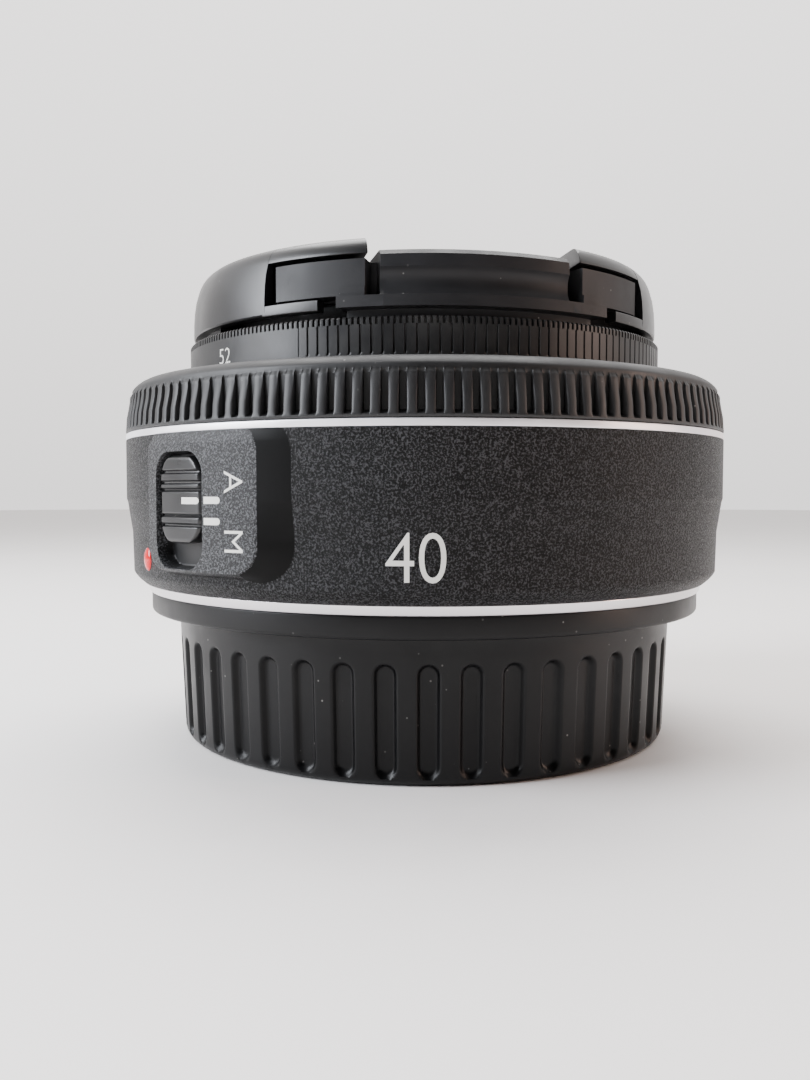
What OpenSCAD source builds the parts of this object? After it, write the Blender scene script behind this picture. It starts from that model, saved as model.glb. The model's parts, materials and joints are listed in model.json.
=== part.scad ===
// Prime camera lens, 52 mm filter thread, with a protective filter, a pinch front cap and a rear cap.
// It stands on its rear cap. The optical axis is +Z, towards the front, and all sizes are in mm.
// Angles round the axis are counted from -Y, positive towards +X.

/* [Barrel] */
// Widest diameter, at the focus ring and the front of the casing
barrel_d = 68.2; // [68:0.1:82]
// Length from the mount flange to the front rim
barrel_l = 22.8; // [22.8:0.1:27.4]
// Radius lost at the casing's waist, next to the mount
waist = 0.6; // [0.2:0.1:1]
// Wall of the casing at its waist
casing_wall = 1.5; // [1:0.1:2]
// Thickness of the casing's rear floor
casing_floor = 1.2; // [1:0.1:1.4]
// Height of the bright trim ring
trim_h = 0.7; // [0.4:0.1:1]

/* [Focus ring] */
// Length of the focus ring
focus_ring_l = 5.55; // [5.2:0.05:6]
// Number of grip ribs
focus_ribs = 135; // [60:1:140]
// Depth of the grooves between the ribs
focus_rib_depth = 0.8; // [0.4:0.1:1]
// Radial thickness of the focus ring
focus_ring_t = 3.6; // [3.2:0.1:3.8]

/* [Mount] */
// Diameter of the mount flange
flange_d = 64; // [62:0.5:66]
// Thickness of the mount flange
flange_t = 1; // [0.8:0.1:1.4]
// Diameter of the bayonet sleeve
sleeve_d = 50.8; // [50:0.1:51]
// Wall of the bayonet sleeve
sleeve_wall = 1.5; // [1.2:0.1:1.7]
// Length of the bayonet sleeve behind the flange
sleeve_l = 5.5; // [5:0.1:6]
// Diameter over the three bayonet lugs
lug_d = 54; // [53:0.1:54]
// Thickness of a lug
lug_t = 1.5; // [1:0.1:1.6]
// Angle that each lug spans
lug_span = 52; // [40:1:56]

/* [Rear cap] */
// Height of the rear cap
rear_cap_h = 16.4; // [16:0.1:20]
// Height of its rim
rear_cap_rim_h = 2.2; // [1.5:0.1:2.6]
// Diameter of its rim
rear_cap_rim_d = 63; // [62:0.5:64]
// Diameter of its skirt at the rim
rear_cap_skirt_d = 57; // [56.8:0.1:58]
// Diameter of its skirt at the bottom
rear_cap_base_d = 55.8; // [55.6:0.1:56.8]
// Thickness of its bottom wall
rear_cap_wall = 1.6; // [1:0.1:2.4]
// Number of grip grooves
rear_cap_grooves = 44; // [20:1:48]
// Width of a grip groove
rear_cap_groove_w = 2; // [1:0.1:2.2]

/* [Filter] */
// Outer diameter of the filter ring
filter_d = 54; // [53.4:0.1:54.4]
// Height of the filter ring above the lens
filter_h = 4.2; // [4:0.1:6]
// Nominal thread diameter of the filter and of the lens
thread_d = 52; // [51.6:0.1:52]
// Length of the filter's rear thread
filter_thread_l = 2.2; // [1.6:0.1:2.4]
// Thickness of the filter glass
filter_glass_t = 1.6; // [1:0.1:2]

/* [Front cap] */
// Space between the filter and the front cap's flange
cap_gap = 0.9; // [0.5:0.1:1.2]
// Height of the front cap's middle band above its flange
cap_h = 5.5; // [5:0.1:7]
// Height of a pinch lever above the middle band
lever_rise = 1.4; // [1:0.1:2]
// Turn of the cap's middle band round the axis
cap_turn = 11; // [-90:1:90]
// Half of the middle band's width
band_half_w = 9.2; // [7:0.1:10]
// Travel of a pinch lever
lever_travel = 0.9; // [0.4:0.1:0.9]

/* [Focus drive] */
// Forward travel of the optical group
focus_travel = 7; // [4:0.5:7]
// Turn of the cam ring over that travel
cam_turn = 105; // [80:1:108]
// Inner radius of the fixed guide tube
guide_r = 19.05; // [19:0.05:19.1]
// Wall of the guide tube
guide_wall = 1.45; // [1.2:0.05:1.5]
// Wall of the cam ring
cam_wall = 1.75; // [1.5:0.05:1.8]
// Radius of the cam followers
follower_r = 1; // [0.7:0.05:1]
// Gear module of the focus drive
gear_module = 0.5; // [0.5]
// Teeth on the full circle of the cam ring
cam_teeth = 92; // [92]
// Teeth on the idler gear
idler_teeth = 12; // [12]
// Teeth on the motor pinion
pinion_teeth = 8; // [8]
// Radius of the focus motor
motor_r = 3.5; // [3:0.1:3.5]

/* [Iris] */
// Number of iris blades
blade_count = 7; // [7]
// Thickness of one blade
blade_t = 0.1; // [0.06:0.01:0.11]
// Radius of the fully open iris
iris_open_r = 6.9; // [6.5:0.1:7]
// Turn of a blade from open to closed
blade_turn = 22; // [15:1:22]
// Turn of the drive ring from open to closed
iris_ring_turn = 30; // [26:1:32]
// Gear module of the iris drive
iris_module = 0.4; // [0.4]
// Teeth on the full circle of the iris drive ring
iris_teeth = 63; // [63]
// Teeth on the iris pinion
iris_pinion_teeth = 8; // [8]

/* [Mode switch] */
// Place of the switch round the axis
switch_angle = -43; // [-60:1:-36]
// Travel of the switch knob
switch_travel = 2; // [1:0.1:2]
// Width of the knob
knob_w = 6.5; // [5:0.1:6.5]
// Height of the knob
knob_h = 8.2; // [6:0.1:8.4]

/* [Hidden] */
$fn = 96;
// Overlap of a cutter past the face that it cuts
cut = 1;
// Running clearance of turning and sliding fits
run = 0.05;
// Space between neighbouring pieces that only seat on each other
seat = 0.1;

// Heights of the main stack
z_flange = rear_cap_h;
z_casing = z_flange + flange_t;
z_floor = z_casing + casing_floor;
z_front = z_flange + barrel_l;
z_ring = z_front - focus_ring_l;
z_trim = z_ring - run - trim_h;
barrel_r = barrel_d / 2;
waist_r = barrel_r - waist;
casing_r = waist_r - casing_wall;

// Bayonet
sleeve_r = sleeve_d / 2;
bore_r = sleeve_r - sleeve_wall;
z_sleeve = z_flange - sleeve_l;
z_lug = z_sleeve + 1.5;
mount_screw_r = 28.6;

// Thread, taken at its minor diameter
thread_r = thread_d / 2 - 0.4;
rim_r = thread_r + 1.7;

// Focus ring and its bearing
ring_in_r = barrel_r - focus_ring_t;
retainer_t = 0.8;
z_retainer = z_front - 0.6 - retainer_t;

// Front barrel
plate_t = 1.3;
z_plate = z_front - filter_thread_l - 1 - plate_t;
tube_r = guide_r - run;
tube_wall = 1.5;
shelf_r = 15.5;
z_follower = z_floor + 4.4;

// Cam ring and gear train
guide_out_r = guide_r + guide_wall;
cam_in_r = guide_out_r + run;
cam_out_r = cam_in_r + cam_wall;
guide_flange_t = 0.8;
z_cam = z_floor + guide_flange_t + seat;
z_cam_top = z_plate - 2;
gear_t = 1.4;
z_gear = z_cam + 0.6;
cam_pitch_r = gear_module * cam_teeth / 2;
idler_pitch_r = gear_module * idler_teeth / 2;
pinion_pitch_r = gear_module * pinion_teeth / 2;
idler_angle = 118;
idler_orbit = cam_pitch_r + idler_pitch_r;
motor_orbit = 27;
idler_to_pinion = idler_pitch_r + pinion_pitch_r;
motor_swing = acos(
    (idler_orbit ^ 2 + motor_orbit ^ 2 - idler_to_pinion ^ 2) / (2 * idler_orbit * motor_orbit)
);
motor_angle = idler_angle + motor_swing;
axle_r = 0.8;
shaft_r = 0.5;
z_bracket = z_gear + gear_t + 0.2;
bracket_t = 0.5;
motor_l = 7.2;
post_orbit = casing_r - 1.2;

// Circuit board
board_t = 0.8;
z_board = z_floor + 0.3;
board_in_r = 24.8;
board_out_r = casing_r - 2;

// Iris stack, from the base upwards, placed from the plate of the front barrel
base_t = 0.8;
z_base = z_plate - 12.1;
layer = blade_t + 0.05;
z_blades = z_base + base_t + run;
z_drive = z_blades + blade_count * layer + 0.15;
drive_t = 0.7;
z_cover = z_drive + drive_t + seat;
cover_t = 0.5;
z_iris_top = z_cover + cover_t;
pivot_orbit = 13.5;
pin_r = 0.42;
pin_play = 0.08;
drive_pin_orbit = 10.9;
drive_pin_angle = 14;
iris_pitch_r = iris_module * iris_teeth / 2;
iris_pinion_pitch_r = iris_module * iris_pinion_teeth / 2;
iris_motor_orbit = iris_pitch_r + iris_pinion_pitch_r;
iris_motor_turn = 180 / blade_count;
iris_motor_r = 2.9;
iris_motor_l = 7;

// Optics: edge radii and vertex heights, all placed from the iris
z_cell = z_iris_top + seat;
third_edge_r = 8.2;
first_edge_r = 9.2;
rear_edge_r = 8.4;
last_edge_r = 9.4;
z_third = z_cell + 1;
z_doublet = z_third + 3.65;
z_second_top = z_doublet + 3.42;
z_first_rear = z_second_top + 0.3;
z_first_top = z_first_rear + 2.4;
z_shoulder = z_first_rear - 0.75;
z_cell_flange = z_plate + plate_t;
z_fourth = z_base - 0.7;
z_rear_doublet = z_fourth - 2.85;
z_fifth = z_rear_doublet - 4.15;
z_last_top = z_fifth - 0.3;
z_last = z_last_top - 2.7;
cement = 0.02;

// Rear cap
rear_cap_groove_depth = 0.6;
rear_cap_groove_top = 11.4;
rear_cap_lug_r = lug_d / 2 + 0.35;
rear_cap_in_r = sleeve_r + 0.6;

// Filter
filter_r = filter_d / 2;
filter_clear_r = thread_r - 1.7;
z_glass = z_front + 0.15;
z_filter_top = z_front + filter_h;

// Front cap
z_cap = z_filter_top + cap_gap;
cap_r = filter_r;
cap_flange_h = 1.05;
z_deck = z_cap + cap_h - 0.9;
z_band = z_cap + cap_h;
z_lever = z_band + lever_rise;
lever_plate_t = 1.8;
lever_foot_r = cap_r - 0.4;
lever_top_r = cap_r - 2;
lever_wall = 1.3;
lever_in_r = lever_foot_r - lever_wall;
deck_r = lever_in_r - lever_travel - 0.3;
hook_r = thread_r - run;
hook_wall = 1.1;
hook_in_r = hook_r - hook_wall;
plug_r = hook_in_r - lever_travel - 0.3;
chord = band_half_w + lever_travel + 0.23;
block_from = 24;
block_to = 45;
foot_to = 29.5;
lip_from = 34;
skirt_from = 47.4;
spring_r = 1.2;
spring_l = 5;
spring_row = 6;
spring_post_r = 0.5;

// Mode switch
pad_r = barrel_r + 0.45;
pocket_floor_r = casing_r + 1;
pocket_gap = 0.35;
z_knob = z_trim - 2.2 - knob_h;
knob_top_r = pad_r;
stem_w = 2.2;
stem_h = 3.4;

// Puts its children on the +X side's place round the axis
module at_angle(angle) {
    rotate([0, 0, angle - 90]) children();
}

module tube(outer_r, inner_r, z0, z1) {
    translate([0, 0, z0]) difference() {
        cylinder(r = outer_r, h = z1 - z0);
        translate([0, 0, -cut]) cylinder(r = inner_r, h = z1 - z0 + 2 * cut);
    }
}

module disc(r, z0, z1) {
    translate([0, 0, z0]) cylinder(r = r, h = z1 - z0);
}

// Part of a tube between two angles, counted as at_angle counts them
module arc_block(inner_r, outer_r, z0, z1, from, to) {
    rotate([0, 0, from - 90]) rotate_extrude(angle = to - from)
        translate([inner_r, z0]) square([outer_r - inner_r, z1 - z0]);
}

// A cylinder whose axis points away from the optical axis
module radial_pin(r, from_r, to_r, z) {
    translate([from_r, 0, z]) rotate([0, 90, 0]) cylinder(r = r, h = to_r - from_r);
}

// Flat screw head with a cross recess on the -Z side and a shank towards +Z
module screw(head_r, head_t, shank_r, length) {
    difference() {
        union() {
            cylinder(r = head_r, h = head_t);
            cylinder(r = shank_r, h = length);
        }
        for (turn = [0, 90]) rotate([0, 0, turn])
            translate([-head_r * 0.6, -head_r * 0.12, -cut])
                cube([head_r * 1.2, head_r * 0.24, cut + head_t * 0.5]);
    }
}

function involute(angle) = tan(angle) * 180 / PI - angle;
function polar(r, angle) = [r * cos(angle), r * sin(angle)];

// Outline of one involute tooth about +X, from root to tip and back, with some backlash
function tooth(teeth, size, root) =
    let (
        pitch_r = size * teeth / 2,
        base_r = pitch_r * cos(20),
        tip_r = pitch_r + 0.75 * size,
        foot_r = pitch_r - size,
        start_r = max(base_r, foot_r),
        half = 90 / teeth - 4 / teeth + involute(20),
        side = [for (k = [0:3]) let (r = start_r + (tip_r - start_r) * k / 3)
            [r, half - involute(acos(base_r / r))]]
    )
    concat(
        [polar(root, -side[0][1])],
        [for (k = [0:3]) polar(side[k][0], -side[k][1])],
        [for (k = [3:-1:0]) polar(side[k][0], side[k][1])],
        [polar(root, side[0][1])]
    );

function turned(points, angle) =
    [for (p = points) [p[0] * cos(angle) - p[1] * sin(angle), p[0] * sin(angle) + p[1] * cos(angle)]];

// Full small gear with a bore, one tooth centred on +X
module small_gear(teeth, size, hole_r, height) {
    root = size * teeth / 2 - size;
    linear_extrude(height = height) difference() {
        polygon([for (k = [0:teeth - 1]) each turned(tooth(teeth, size, root), k * 360 / teeth)]);
        if (hole_r > 0) circle(r = hole_r);
    }
}

// Teeth of a large gear between two tooth numbers, standing on a rim that ends inside the gear's body
module tooth_sector(teeth, size, rim_r, height, from, to) {
    root = size * teeth / 2 - size;
    pitch = 360 / teeth;
    outline = concat(
        [for (k = [from:to]) each turned(tooth(teeth, size, root), k * pitch)],
        [for (k = [to:-2:from]) polar(rim_r, k * pitch)]
    );
    linear_extrude(height = height) polygon(outline);
}

// Lens surfaces are small patches of large spheres, so these are cut finely
module fine_sphere(r) {
    sphere(r = r, $fn = 720);
}

// A lens element on the axis. A curve is the surface's radius: above 0 it bulges, below 0 it is hollow.
// The vertex heights are those of the two surfaces on the axis, and clear_r limits a hollow front or rear.
module lens_element(edge_r, z_rear, z_top, rear_curve, top_curve, clear_r) {
    rear_sag = rear_curve < 0 ? -rear_curve - sqrt(rear_curve ^ 2 - clear_r ^ 2) : 0;
    top_sag = top_curve < 0 ? -top_curve - sqrt(top_curve ^ 2 - clear_r ^ 2) : 0;
    difference() {
        intersection() {
            disc(edge_r, z_rear - rear_sag, z_top + top_sag);
            if (rear_curve > 0) translate([0, 0, z_rear + rear_curve]) fine_sphere(rear_curve);
            if (top_curve > 0) translate([0, 0, z_top - top_curve]) fine_sphere(top_curve);
        }
        if (rear_curve < 0) translate([0, 0, z_rear + rear_curve]) fine_sphere(-rear_curve);
        if (top_curve < 0) translate([0, 0, z_top - top_curve]) fine_sphere(-top_curve);
    }
}

// ---- Rear cap ----

module grip_groove() {
    w = rear_cap_groove_w;
    from = rear_cap_base_d / 2 - rear_cap_groove_depth;
    translate([from, -w / 2, -cut]) cube([3, w, cut + rear_cap_groove_top - w / 2]);
    radial_pin(w / 2, from, from + 3, rear_cap_groove_top - w / 2);
}

module rear_cap() {
    z_rim = rear_cap_h - rear_cap_rim_h;
    base_r = rear_cap_base_d / 2;
    skirt_r = rear_cap_skirt_d / 2;
    rim_out_r = rear_cap_rim_d / 2;
    z_step = z_sleeve + 0.7;
    color([0.07, 0.07, 0.075]) {
        difference() {
            rotate_extrude() polygon([
                [0, 0], [base_r - 1, 0], [base_r - 0.3, 0.3], [base_r, 1], [skirt_r, z_rim - 0.4],
                [skirt_r + 0.5, z_rim], [rim_out_r - 0.4, z_rim], [rim_out_r, z_rim + 0.4],
                [rim_out_r, rear_cap_h], [rear_cap_lug_r, rear_cap_h], [rear_cap_lug_r, z_step],
                [rear_cap_in_r, z_step], [rear_cap_in_r, rear_cap_wall], [0, rear_cap_wall]
            ]);
            for (k = [0:rear_cap_grooves - 1]) at_angle(k * 360 / rear_cap_grooves) grip_groove();
        }
        // Three tabs that stand between the lugs once the cap is turned free
        for (k = [0:2])
            arc_block(sleeve_r + 0.4, rear_cap_lug_r + 0.3, z_lug + lug_t + 0.2, rear_cap_h - 0.2,
            lug_angle(k) + 60 - 14, lug_angle(k) + 60 + 14);
    }
}

// ---- Mount ----

function lug_angle(k) = 2 + k * 120;

module mount_bayonet() {
    flange_r = flange_d / 2;
    color([0.82, 0.82, 0.84]) difference() {
        union() {
            rotate_extrude() polygon([
                [bore_r, z_sleeve], [sleeve_r, z_sleeve], [sleeve_r, z_flange], [flange_r - 0.3, z_flange],
                [flange_r, z_casing], [bore_r, z_casing]
            ]);
            for (k = [0:2]) arc_block(sleeve_r - 0.3, lug_d / 2, z_lug, z_lug + lug_t,
                lug_angle(k) - lug_span / 2, lug_angle(k) + lug_span / 2);
        }
        for (k = [0:3]) at_angle(45 + k * 90) translate([mount_screw_r, 0, z_flange - cut])
            cylinder(r = 0.85, h = flange_t + 2 * cut);
        for (k = [0:3]) at_angle(45 + k * 90) translate([mount_screw_r, 0, z_flange - cut])
            cylinder(r = 1.55, h = cut + 0.65);
    }
}

module mount_screws() {
    color([0.6, 0.6, 0.62]) for (k = [0:3]) at_angle(45 + k * 90)
        translate([mount_screw_r, 0, z_flange + 0.05])
            screw(1.45, 0.6, 0.75, flange_t + casing_floor - 0.1);
}

contact_r0 = bore_r - 3;
contact_r1 = bore_r - seat;
z_contact = z_sleeve - 1.6;
contact_angle = 182;
pin_angles = [for (k = [0:7]) contact_angle - 24 + k * 6 + (k > 4 ? 6 : 0)];

module contact_block() {
    color([0.06, 0.06, 0.06]) difference() {
        arc_block(contact_r0, contact_r1, z_contact, z_floor - seat, contact_angle - 31, contact_angle + 31);
        for (a = pin_angles) at_angle(a) translate([bore_r - 1.5, 0, z_contact - cut])
            cylinder(r = 0.7 + run, h = cut + 1.4);
    }
}

module contact_pins() {
    color([0.83, 0.66, 0.3]) for (a = pin_angles) at_angle(a) translate([bore_r - 1.5, 0, z_contact - 0.2])
        cylinder(r = 0.7, h = 1.5);
}

baffle_t = 0.8;
z_baffle = z_sleeve - 1;
baffle_window = [20, 17];
boss_orbit = 21.2;
boss_r = 2;

module rear_baffle() {
    color([0.05, 0.05, 0.055]) difference() {
        union() {
            disc(bore_r - seat, z_baffle, z_baffle + baffle_t);
            tube(bore_r - seat, bore_r - seat - 1, z_baffle, z_floor - seat);
            for (a = [92, 272]) at_angle(a) translate([boss_orbit, 0, z_baffle])
                cylinder(r = boss_r, h = z_floor - seat - z_baffle - 0.2);
        }
        translate([-baffle_window[0] / 2, -baffle_window[1] / 2, z_baffle - cut])
            cube([baffle_window[0], baffle_window[1], baffle_t + 2 * cut]);
        arc_block(contact_r0 - 0.3, bore_r + 1, z_baffle - cut, z_floor + cut, contact_angle - 33,
            contact_angle + 33);
        for (a = [92, 272]) at_angle(a) translate([boss_orbit, 0, z_baffle - cut]) {
            cylinder(r = 1.25, h = cut + 0.6);
            cylinder(r = 0.75, h = 20);
        }
    }
}

module baffle_screws() {
    color([0.12, 0.12, 0.12]) for (a = [92, 272]) at_angle(a)
        translate([boss_orbit, 0, z_baffle + 0.05]) screw(1.15, 0.5, 0.65, z_floor - z_baffle - 0.2);
}

// ---- Casing and its fittings ----

// Rounded slot outline, long side along the optical axis once it is stood up
module rounded_slot(width, height, r) {
    square([height, width - 2 * r], center = true);
    square([height - 2 * r, width], center = true);
    for (i = [-1, 1], j = [-1, 1]) translate([i * (height / 2 - r), j * (width / 2 - r)]) circle(r = r);
}

// A prism that stands outwards at the switch's place, from one radius to another
module switch_prism(width, height, r, from_r, to_r, z_mid) {
    at_angle(switch_angle) translate([from_r, 0, z_mid]) rotate([0, 90, 0])
        linear_extrude(height = to_r - from_r) rounded_slot(width, height, r);
}

slot_h = knob_h + switch_travel + 2 * 0.3;
z_slot_mid = z_knob + knob_h / 2 - switch_travel / 2;

// Raised pad round the switch: flush on its left, crested on its right, then sloping back to the casing
module switch_pad() {
    z0 = z_casing + 2.1;
    left = switch_angle - 9;
    crest = switch_angle + 16.5;
    foot = switch_angle + 22.4;
    inner = casing_r + 0.5;
    outline = concat(
        [polar(waist_r, left), polar(barrel_r, left + 1.2)],
        [for (k = [0:8]) polar(barrel_r + 0.45 * k / 8, left + 1.2 + (crest - left - 1.2) * k / 8)],
        [polar(barrel_r + 0.2, crest + 1.4), polar(waist_r - 0.2, foot)],
        [for (k = [0:8]) polar(inner, foot + (left - foot) * k / 8)]
    );
    rotate([0, 0, -90]) translate([0, 0, z0]) linear_extrude(height = z_trim - z0) polygon(outline);
}

dot_angle = -57.8;
dot_r = 1.1;
z_dot = z_casing + 3.1;

module rear_casing() {
    color([0.09, 0.09, 0.095]) difference() {
        union() {
            rotate_extrude() polygon([
                [bore_r + 0.7, z_casing], [flange_d / 2 + 0.3, z_casing], [waist_r - 0.1, z_casing + 1.2],
                [waist_r, z_casing + 5.6], [barrel_r, z_casing + 9.2], [barrel_r, z_trim],
                [casing_r, z_trim], [casing_r, z_floor], [bore_r + 0.7, z_floor]
            ]);
            switch_pad();
        }
        difference() {
            switch_prism(knob_w + 2 * pocket_gap, slot_h, 2.2, casing_r - cut, barrel_r + 3, z_slot_mid);
            disc(pocket_floor_r, z_casing, z_trim);
        }
        switch_prism(stem_w + 0.6, stem_h + switch_travel + 0.6, 0.4, casing_r - 2, barrel_r, z_slot_mid);
        at_angle(dot_angle) radial_pin(dot_r, waist_r - 0.7, barrel_r + 2, z_dot);
        for (k = [0:3]) at_angle(45 + k * 90) translate([mount_screw_r, 0, z_casing - cut])
            cylinder(r = 0.85, h = casing_floor + 2 * cut);
    }
}

module index_dot() {
    color([0.85, 0.05, 0.06])
        at_angle(dot_angle) radial_pin(dot_r - run, waist_r - 0.65, waist_r + 0.3, z_dot);
}

module trim_ring() {
    color([0.85, 0.85, 0.87]) tube(barrel_r, casing_r - 0.6, z_trim, z_trim + trim_h);
}

module switch_knob() {
    z_mid = z_knob + knob_h / 2;
    color([0.1, 0.1, 0.1]) {
        difference() {
            intersection() {
                switch_prism(knob_w, knob_h, 2, pocket_floor_r - cut, barrel_r + 3, z_mid);
                tube(knob_top_r, pocket_floor_r + seat, z_knob - cut, z_knob + knob_h + cut);
            }
            for (z = [z_knob + 1.9, z_knob + 5.7, z_knob + 7]) at_angle(switch_angle)
                translate([knob_top_r - 0.3, -knob_w, z - 0.25]) cube([2, 2 * knob_w, 0.5]);
        }
        switch_prism(stem_w, stem_h, 0.3, casing_r - 0.6, pocket_floor_r + 0.5, z_mid);
    }
}

// Plate behind the casing wall that the knob's stem seats on
module switch_slider() {
    z_mid = z_knob + knob_h / 2;
    color([0.75, 0.75, 0.72]) intersection() {
        switch_prism(7, 6.4, 0.5, casing_r - 4, casing_r, z_mid);
        tube(casing_r - 0.6, casing_r - 1.4, z_casing, z_trim);
    }
}

// ---- Electronics ----

board_screw_r = 28.4;

module main_board() {
    color([0.1, 0.35, 0.2]) difference() {
        tube(board_out_r, board_in_r, z_board, z_board + board_t);
        for (k = [0:2]) at_angle(20 + k * 120) translate([board_screw_r, 0, z_board - cut])
            cylinder(r = 0.8, h = board_t + 2 * cut);
    }
}

module board_screws() {
    color([0.6, 0.6, 0.62]) for (k = [0:2]) at_angle(20 + k * 120)
        translate([board_screw_r, 0, z_board + board_t + 0.6]) mirror([0, 0, 1]) screw(1.3, 0.5, 0.7, 1.6);
}

module chip(angle, size) {
    at_angle(angle) translate([27.3 - size[0] / 2, -size[1] / 2, z_board + board_t]) cube(size);
}

module board_chips() {
    color([0.05, 0.05, 0.055]) {
        chip(-125, [3.8, 6, 0.9]);
        chip(-60, [3.2, 4, 0.8]);
        chip(-30, [3.6, 5, 1]);
        chip(0, [2, 3, 0.7]);
        chip(50, [3.4, 4.6, 0.9]);
        chip(75, [2, 2, 0.7]);
    }
}

flex_angle = 200;

module flex_cable() {
    color([0.75, 0.45, 0.12]) at_angle(flex_angle) translate([board_in_r + 0.2, -2.5, z_board + board_t])
        cube([0.2, 5, z_plate - z_board - board_t]);
}

// ---- Focus drive ----

module guide_tube() {
    color([0.13, 0.13, 0.14]) difference() {
        union() {
            tube(guide_out_r, guide_r, z_floor, z_cam_top + 0.8);
            tube(bore_r + 0.6, guide_r, z_floor, z_floor + guide_flange_t);
        }
        for (k = [0:2]) at_angle(20 + k * 120) {
            translate([guide_r - 1, -follower_r - run, z_follower])
                cube([guide_wall + 2, 2 * (follower_r + run), focus_travel]);
            for (z = [z_follower, z_follower + focus_travel])
                radial_pin(follower_r + run, guide_r - 1, guide_out_r + 1, z);
        }
        for (a = [92, 272]) at_angle(a) translate([boss_orbit, 0, z_floor - cut])
            cylinder(r = 0.75, h = guide_flange_t + 2 * cut);
    }
}

cam_steps = 12;
cam_mid_r = (cam_in_r + cam_out_r) / 2;
cam_lead = atan(focus_travel / (cam_mid_r * cam_turn * PI / 180));

// Helical slot as a chain of short straight stretches, each tangent to the cam ring
module cam_slot() {
    step = cam_turn / cam_steps;
    length = cam_mid_r * step * PI / 180 / cos(cam_lead) * 1.04;
    for (k = [0:cam_steps - 1])
        rotate([0, 0, -(k + 0.5) * step])
            translate([cam_mid_r, 0, z_follower + focus_travel * (k + 0.5) / cam_steps])
            rotate([-cam_lead, 0, 0]) cube([2 * cam_wall, length, 2 * (follower_r + run)], center = true);
    for (k = [0, 1])
        rotate([0, 0, -k * cam_turn])
            radial_pin(follower_r + run, cam_in_r - 0.8, cam_out_r + 0.8, z_follower + k * focus_travel);
}

module cam_ring() {
    color([0.2, 0.2, 0.21]) {
        difference() {
            tube(cam_out_r, cam_in_r, z_cam, z_cam_top);
            for (k = [0:2]) at_angle(20 + k * 120) cam_slot();
        }
        at_angle(idler_angle) translate([0, 0, z_gear])
            tooth_sector(cam_teeth, gear_module, cam_out_r - 0.4, gear_t, -29, 3);
    }
}

module cam_ring_clip() {
    color([0.6, 0.6, 0.62]) difference() {
        tube(guide_out_r + 1.1, guide_out_r + 0.02, z_cam_top + run, z_cam_top + 0.5);
        at_angle(200) translate([guide_r, -2, z_cam_top - cut]) cube([4, 4, 3]);
    }
}

module idler_gear() {
    color([0.85, 0.83, 0.78]) at_angle(idler_angle) translate([idler_orbit, 0, z_gear])
        rotate([0, 0, 180 + 180 / idler_teeth]) small_gear(idler_teeth, gear_module, axle_r + run, gear_t);
}

// Direction from the idler to the pinion, in the idler's own frame at its angle round the axis
pinion_dx = motor_orbit * cos(motor_swing) - idler_orbit;
pinion_dy = motor_orbit * sin(motor_swing);
mesh_angle = atan2(pinion_dy, pinion_dx);
// Idler teeth stand at 180 + 180 / n + k * 360 / n. This is how far the mesh line is past the nearest one.
idler_tooth_at = 180 + 180 / idler_teeth;
mesh_phase = mesh_angle - idler_tooth_at;
pinion_turn = mesh_angle + 180 + 180 / pinion_teeth + mesh_phase * idler_teeth / pinion_teeth;

module motor_pinion() {
    color([0.8, 0.65, 0.35]) at_angle(idler_angle) translate([idler_orbit + pinion_dx, pinion_dy, 0]) {
        translate([0, 0, z_gear]) rotate([0, 0, pinion_turn])
            small_gear(pinion_teeth, gear_module, 0, gear_t);
        disc(shaft_r, z_gear, z_bracket + bracket_t + 1);
    }
}

module focus_motor() {
    color([0.7, 0.7, 0.72]) at_angle(motor_angle) translate([motor_orbit, 0, z_bracket + bracket_t])
        difference() {
            cylinder(r = motor_r, h = motor_l);
            translate([0, 0, -cut]) cylinder(r = shaft_r + run, h = cut + 1.3);
        }
}

module gear_bracket() {
    color([0.65, 0.66, 0.68]) {
        difference() {
            arc_block(cam_out_r + 0.6, casing_r - 0.15, z_bracket, z_bracket + bracket_t, idler_angle - 9,
                motor_angle + 10);
            at_angle(motor_angle) translate([motor_orbit, 0, z_bracket - cut])
                cylinder(r = shaft_r + 0.3, h = bracket_t + 2 * cut);
        }
        at_angle(idler_angle) translate([idler_orbit, 0, z_gear - 0.2])
            cylinder(r = axle_r, h = z_bracket - z_gear + 0.3);
        for (a = [idler_angle - 7, motor_angle + 8]) at_angle(a) translate([post_orbit, 0, z_floor])
            cylinder(r = 0.8, h = z_bracket - z_floor + 0.1);
    }
}

// ---- Focus ring and its bearing ----

module ring_bed() {
    color([0.12, 0.12, 0.125]) {
        tube(ring_in_r - run, rim_r + 1.7, z_trim - 1.5, z_retainer);
        tube(casing_r - 0.7, rim_r + 1.7, z_trim - 1.5, z_trim - 0.1);
    }
}

module focus_ring() {
    pitch = 360 / focus_ribs;
    groove_r = barrel_r - focus_rib_depth;
    rib = [[groove_r - 0.1, -0.3], [groove_r, -0.3], [barrel_r, -0.2], [barrel_r, 0.2], [groove_r, 0.3]];
    color([0.13, 0.13, 0.135]) {
        rotate_extrude() polygon([
            [ring_in_r, z_ring], [groove_r, z_ring], [groove_r, z_front - 1.1],
            [groove_r - 0.5, z_front - 0.4],
            [groove_r - 1.2, z_front], [ring_in_r + 1, z_front], [ring_in_r + 1, z_retainer - run],
            [ring_in_r, z_retainer - run]
        ]);
        translate([0, 0, z_ring]) linear_extrude(height = focus_ring_l - 1.3) difference() {
            polygon([for (k = [0:focus_ribs - 1], p = [1:4]) polar(rib[p][0], (k + rib[p][1]) * pitch)]);
            circle(r = groove_r - 0.4);
        }
    }
}

module ring_retainer() {
    color([0.1, 0.1, 0.105]) tube(ring_in_r + 0.9, rim_r + 0.3, z_retainer, z_retainer + retainer_t);
}

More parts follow.
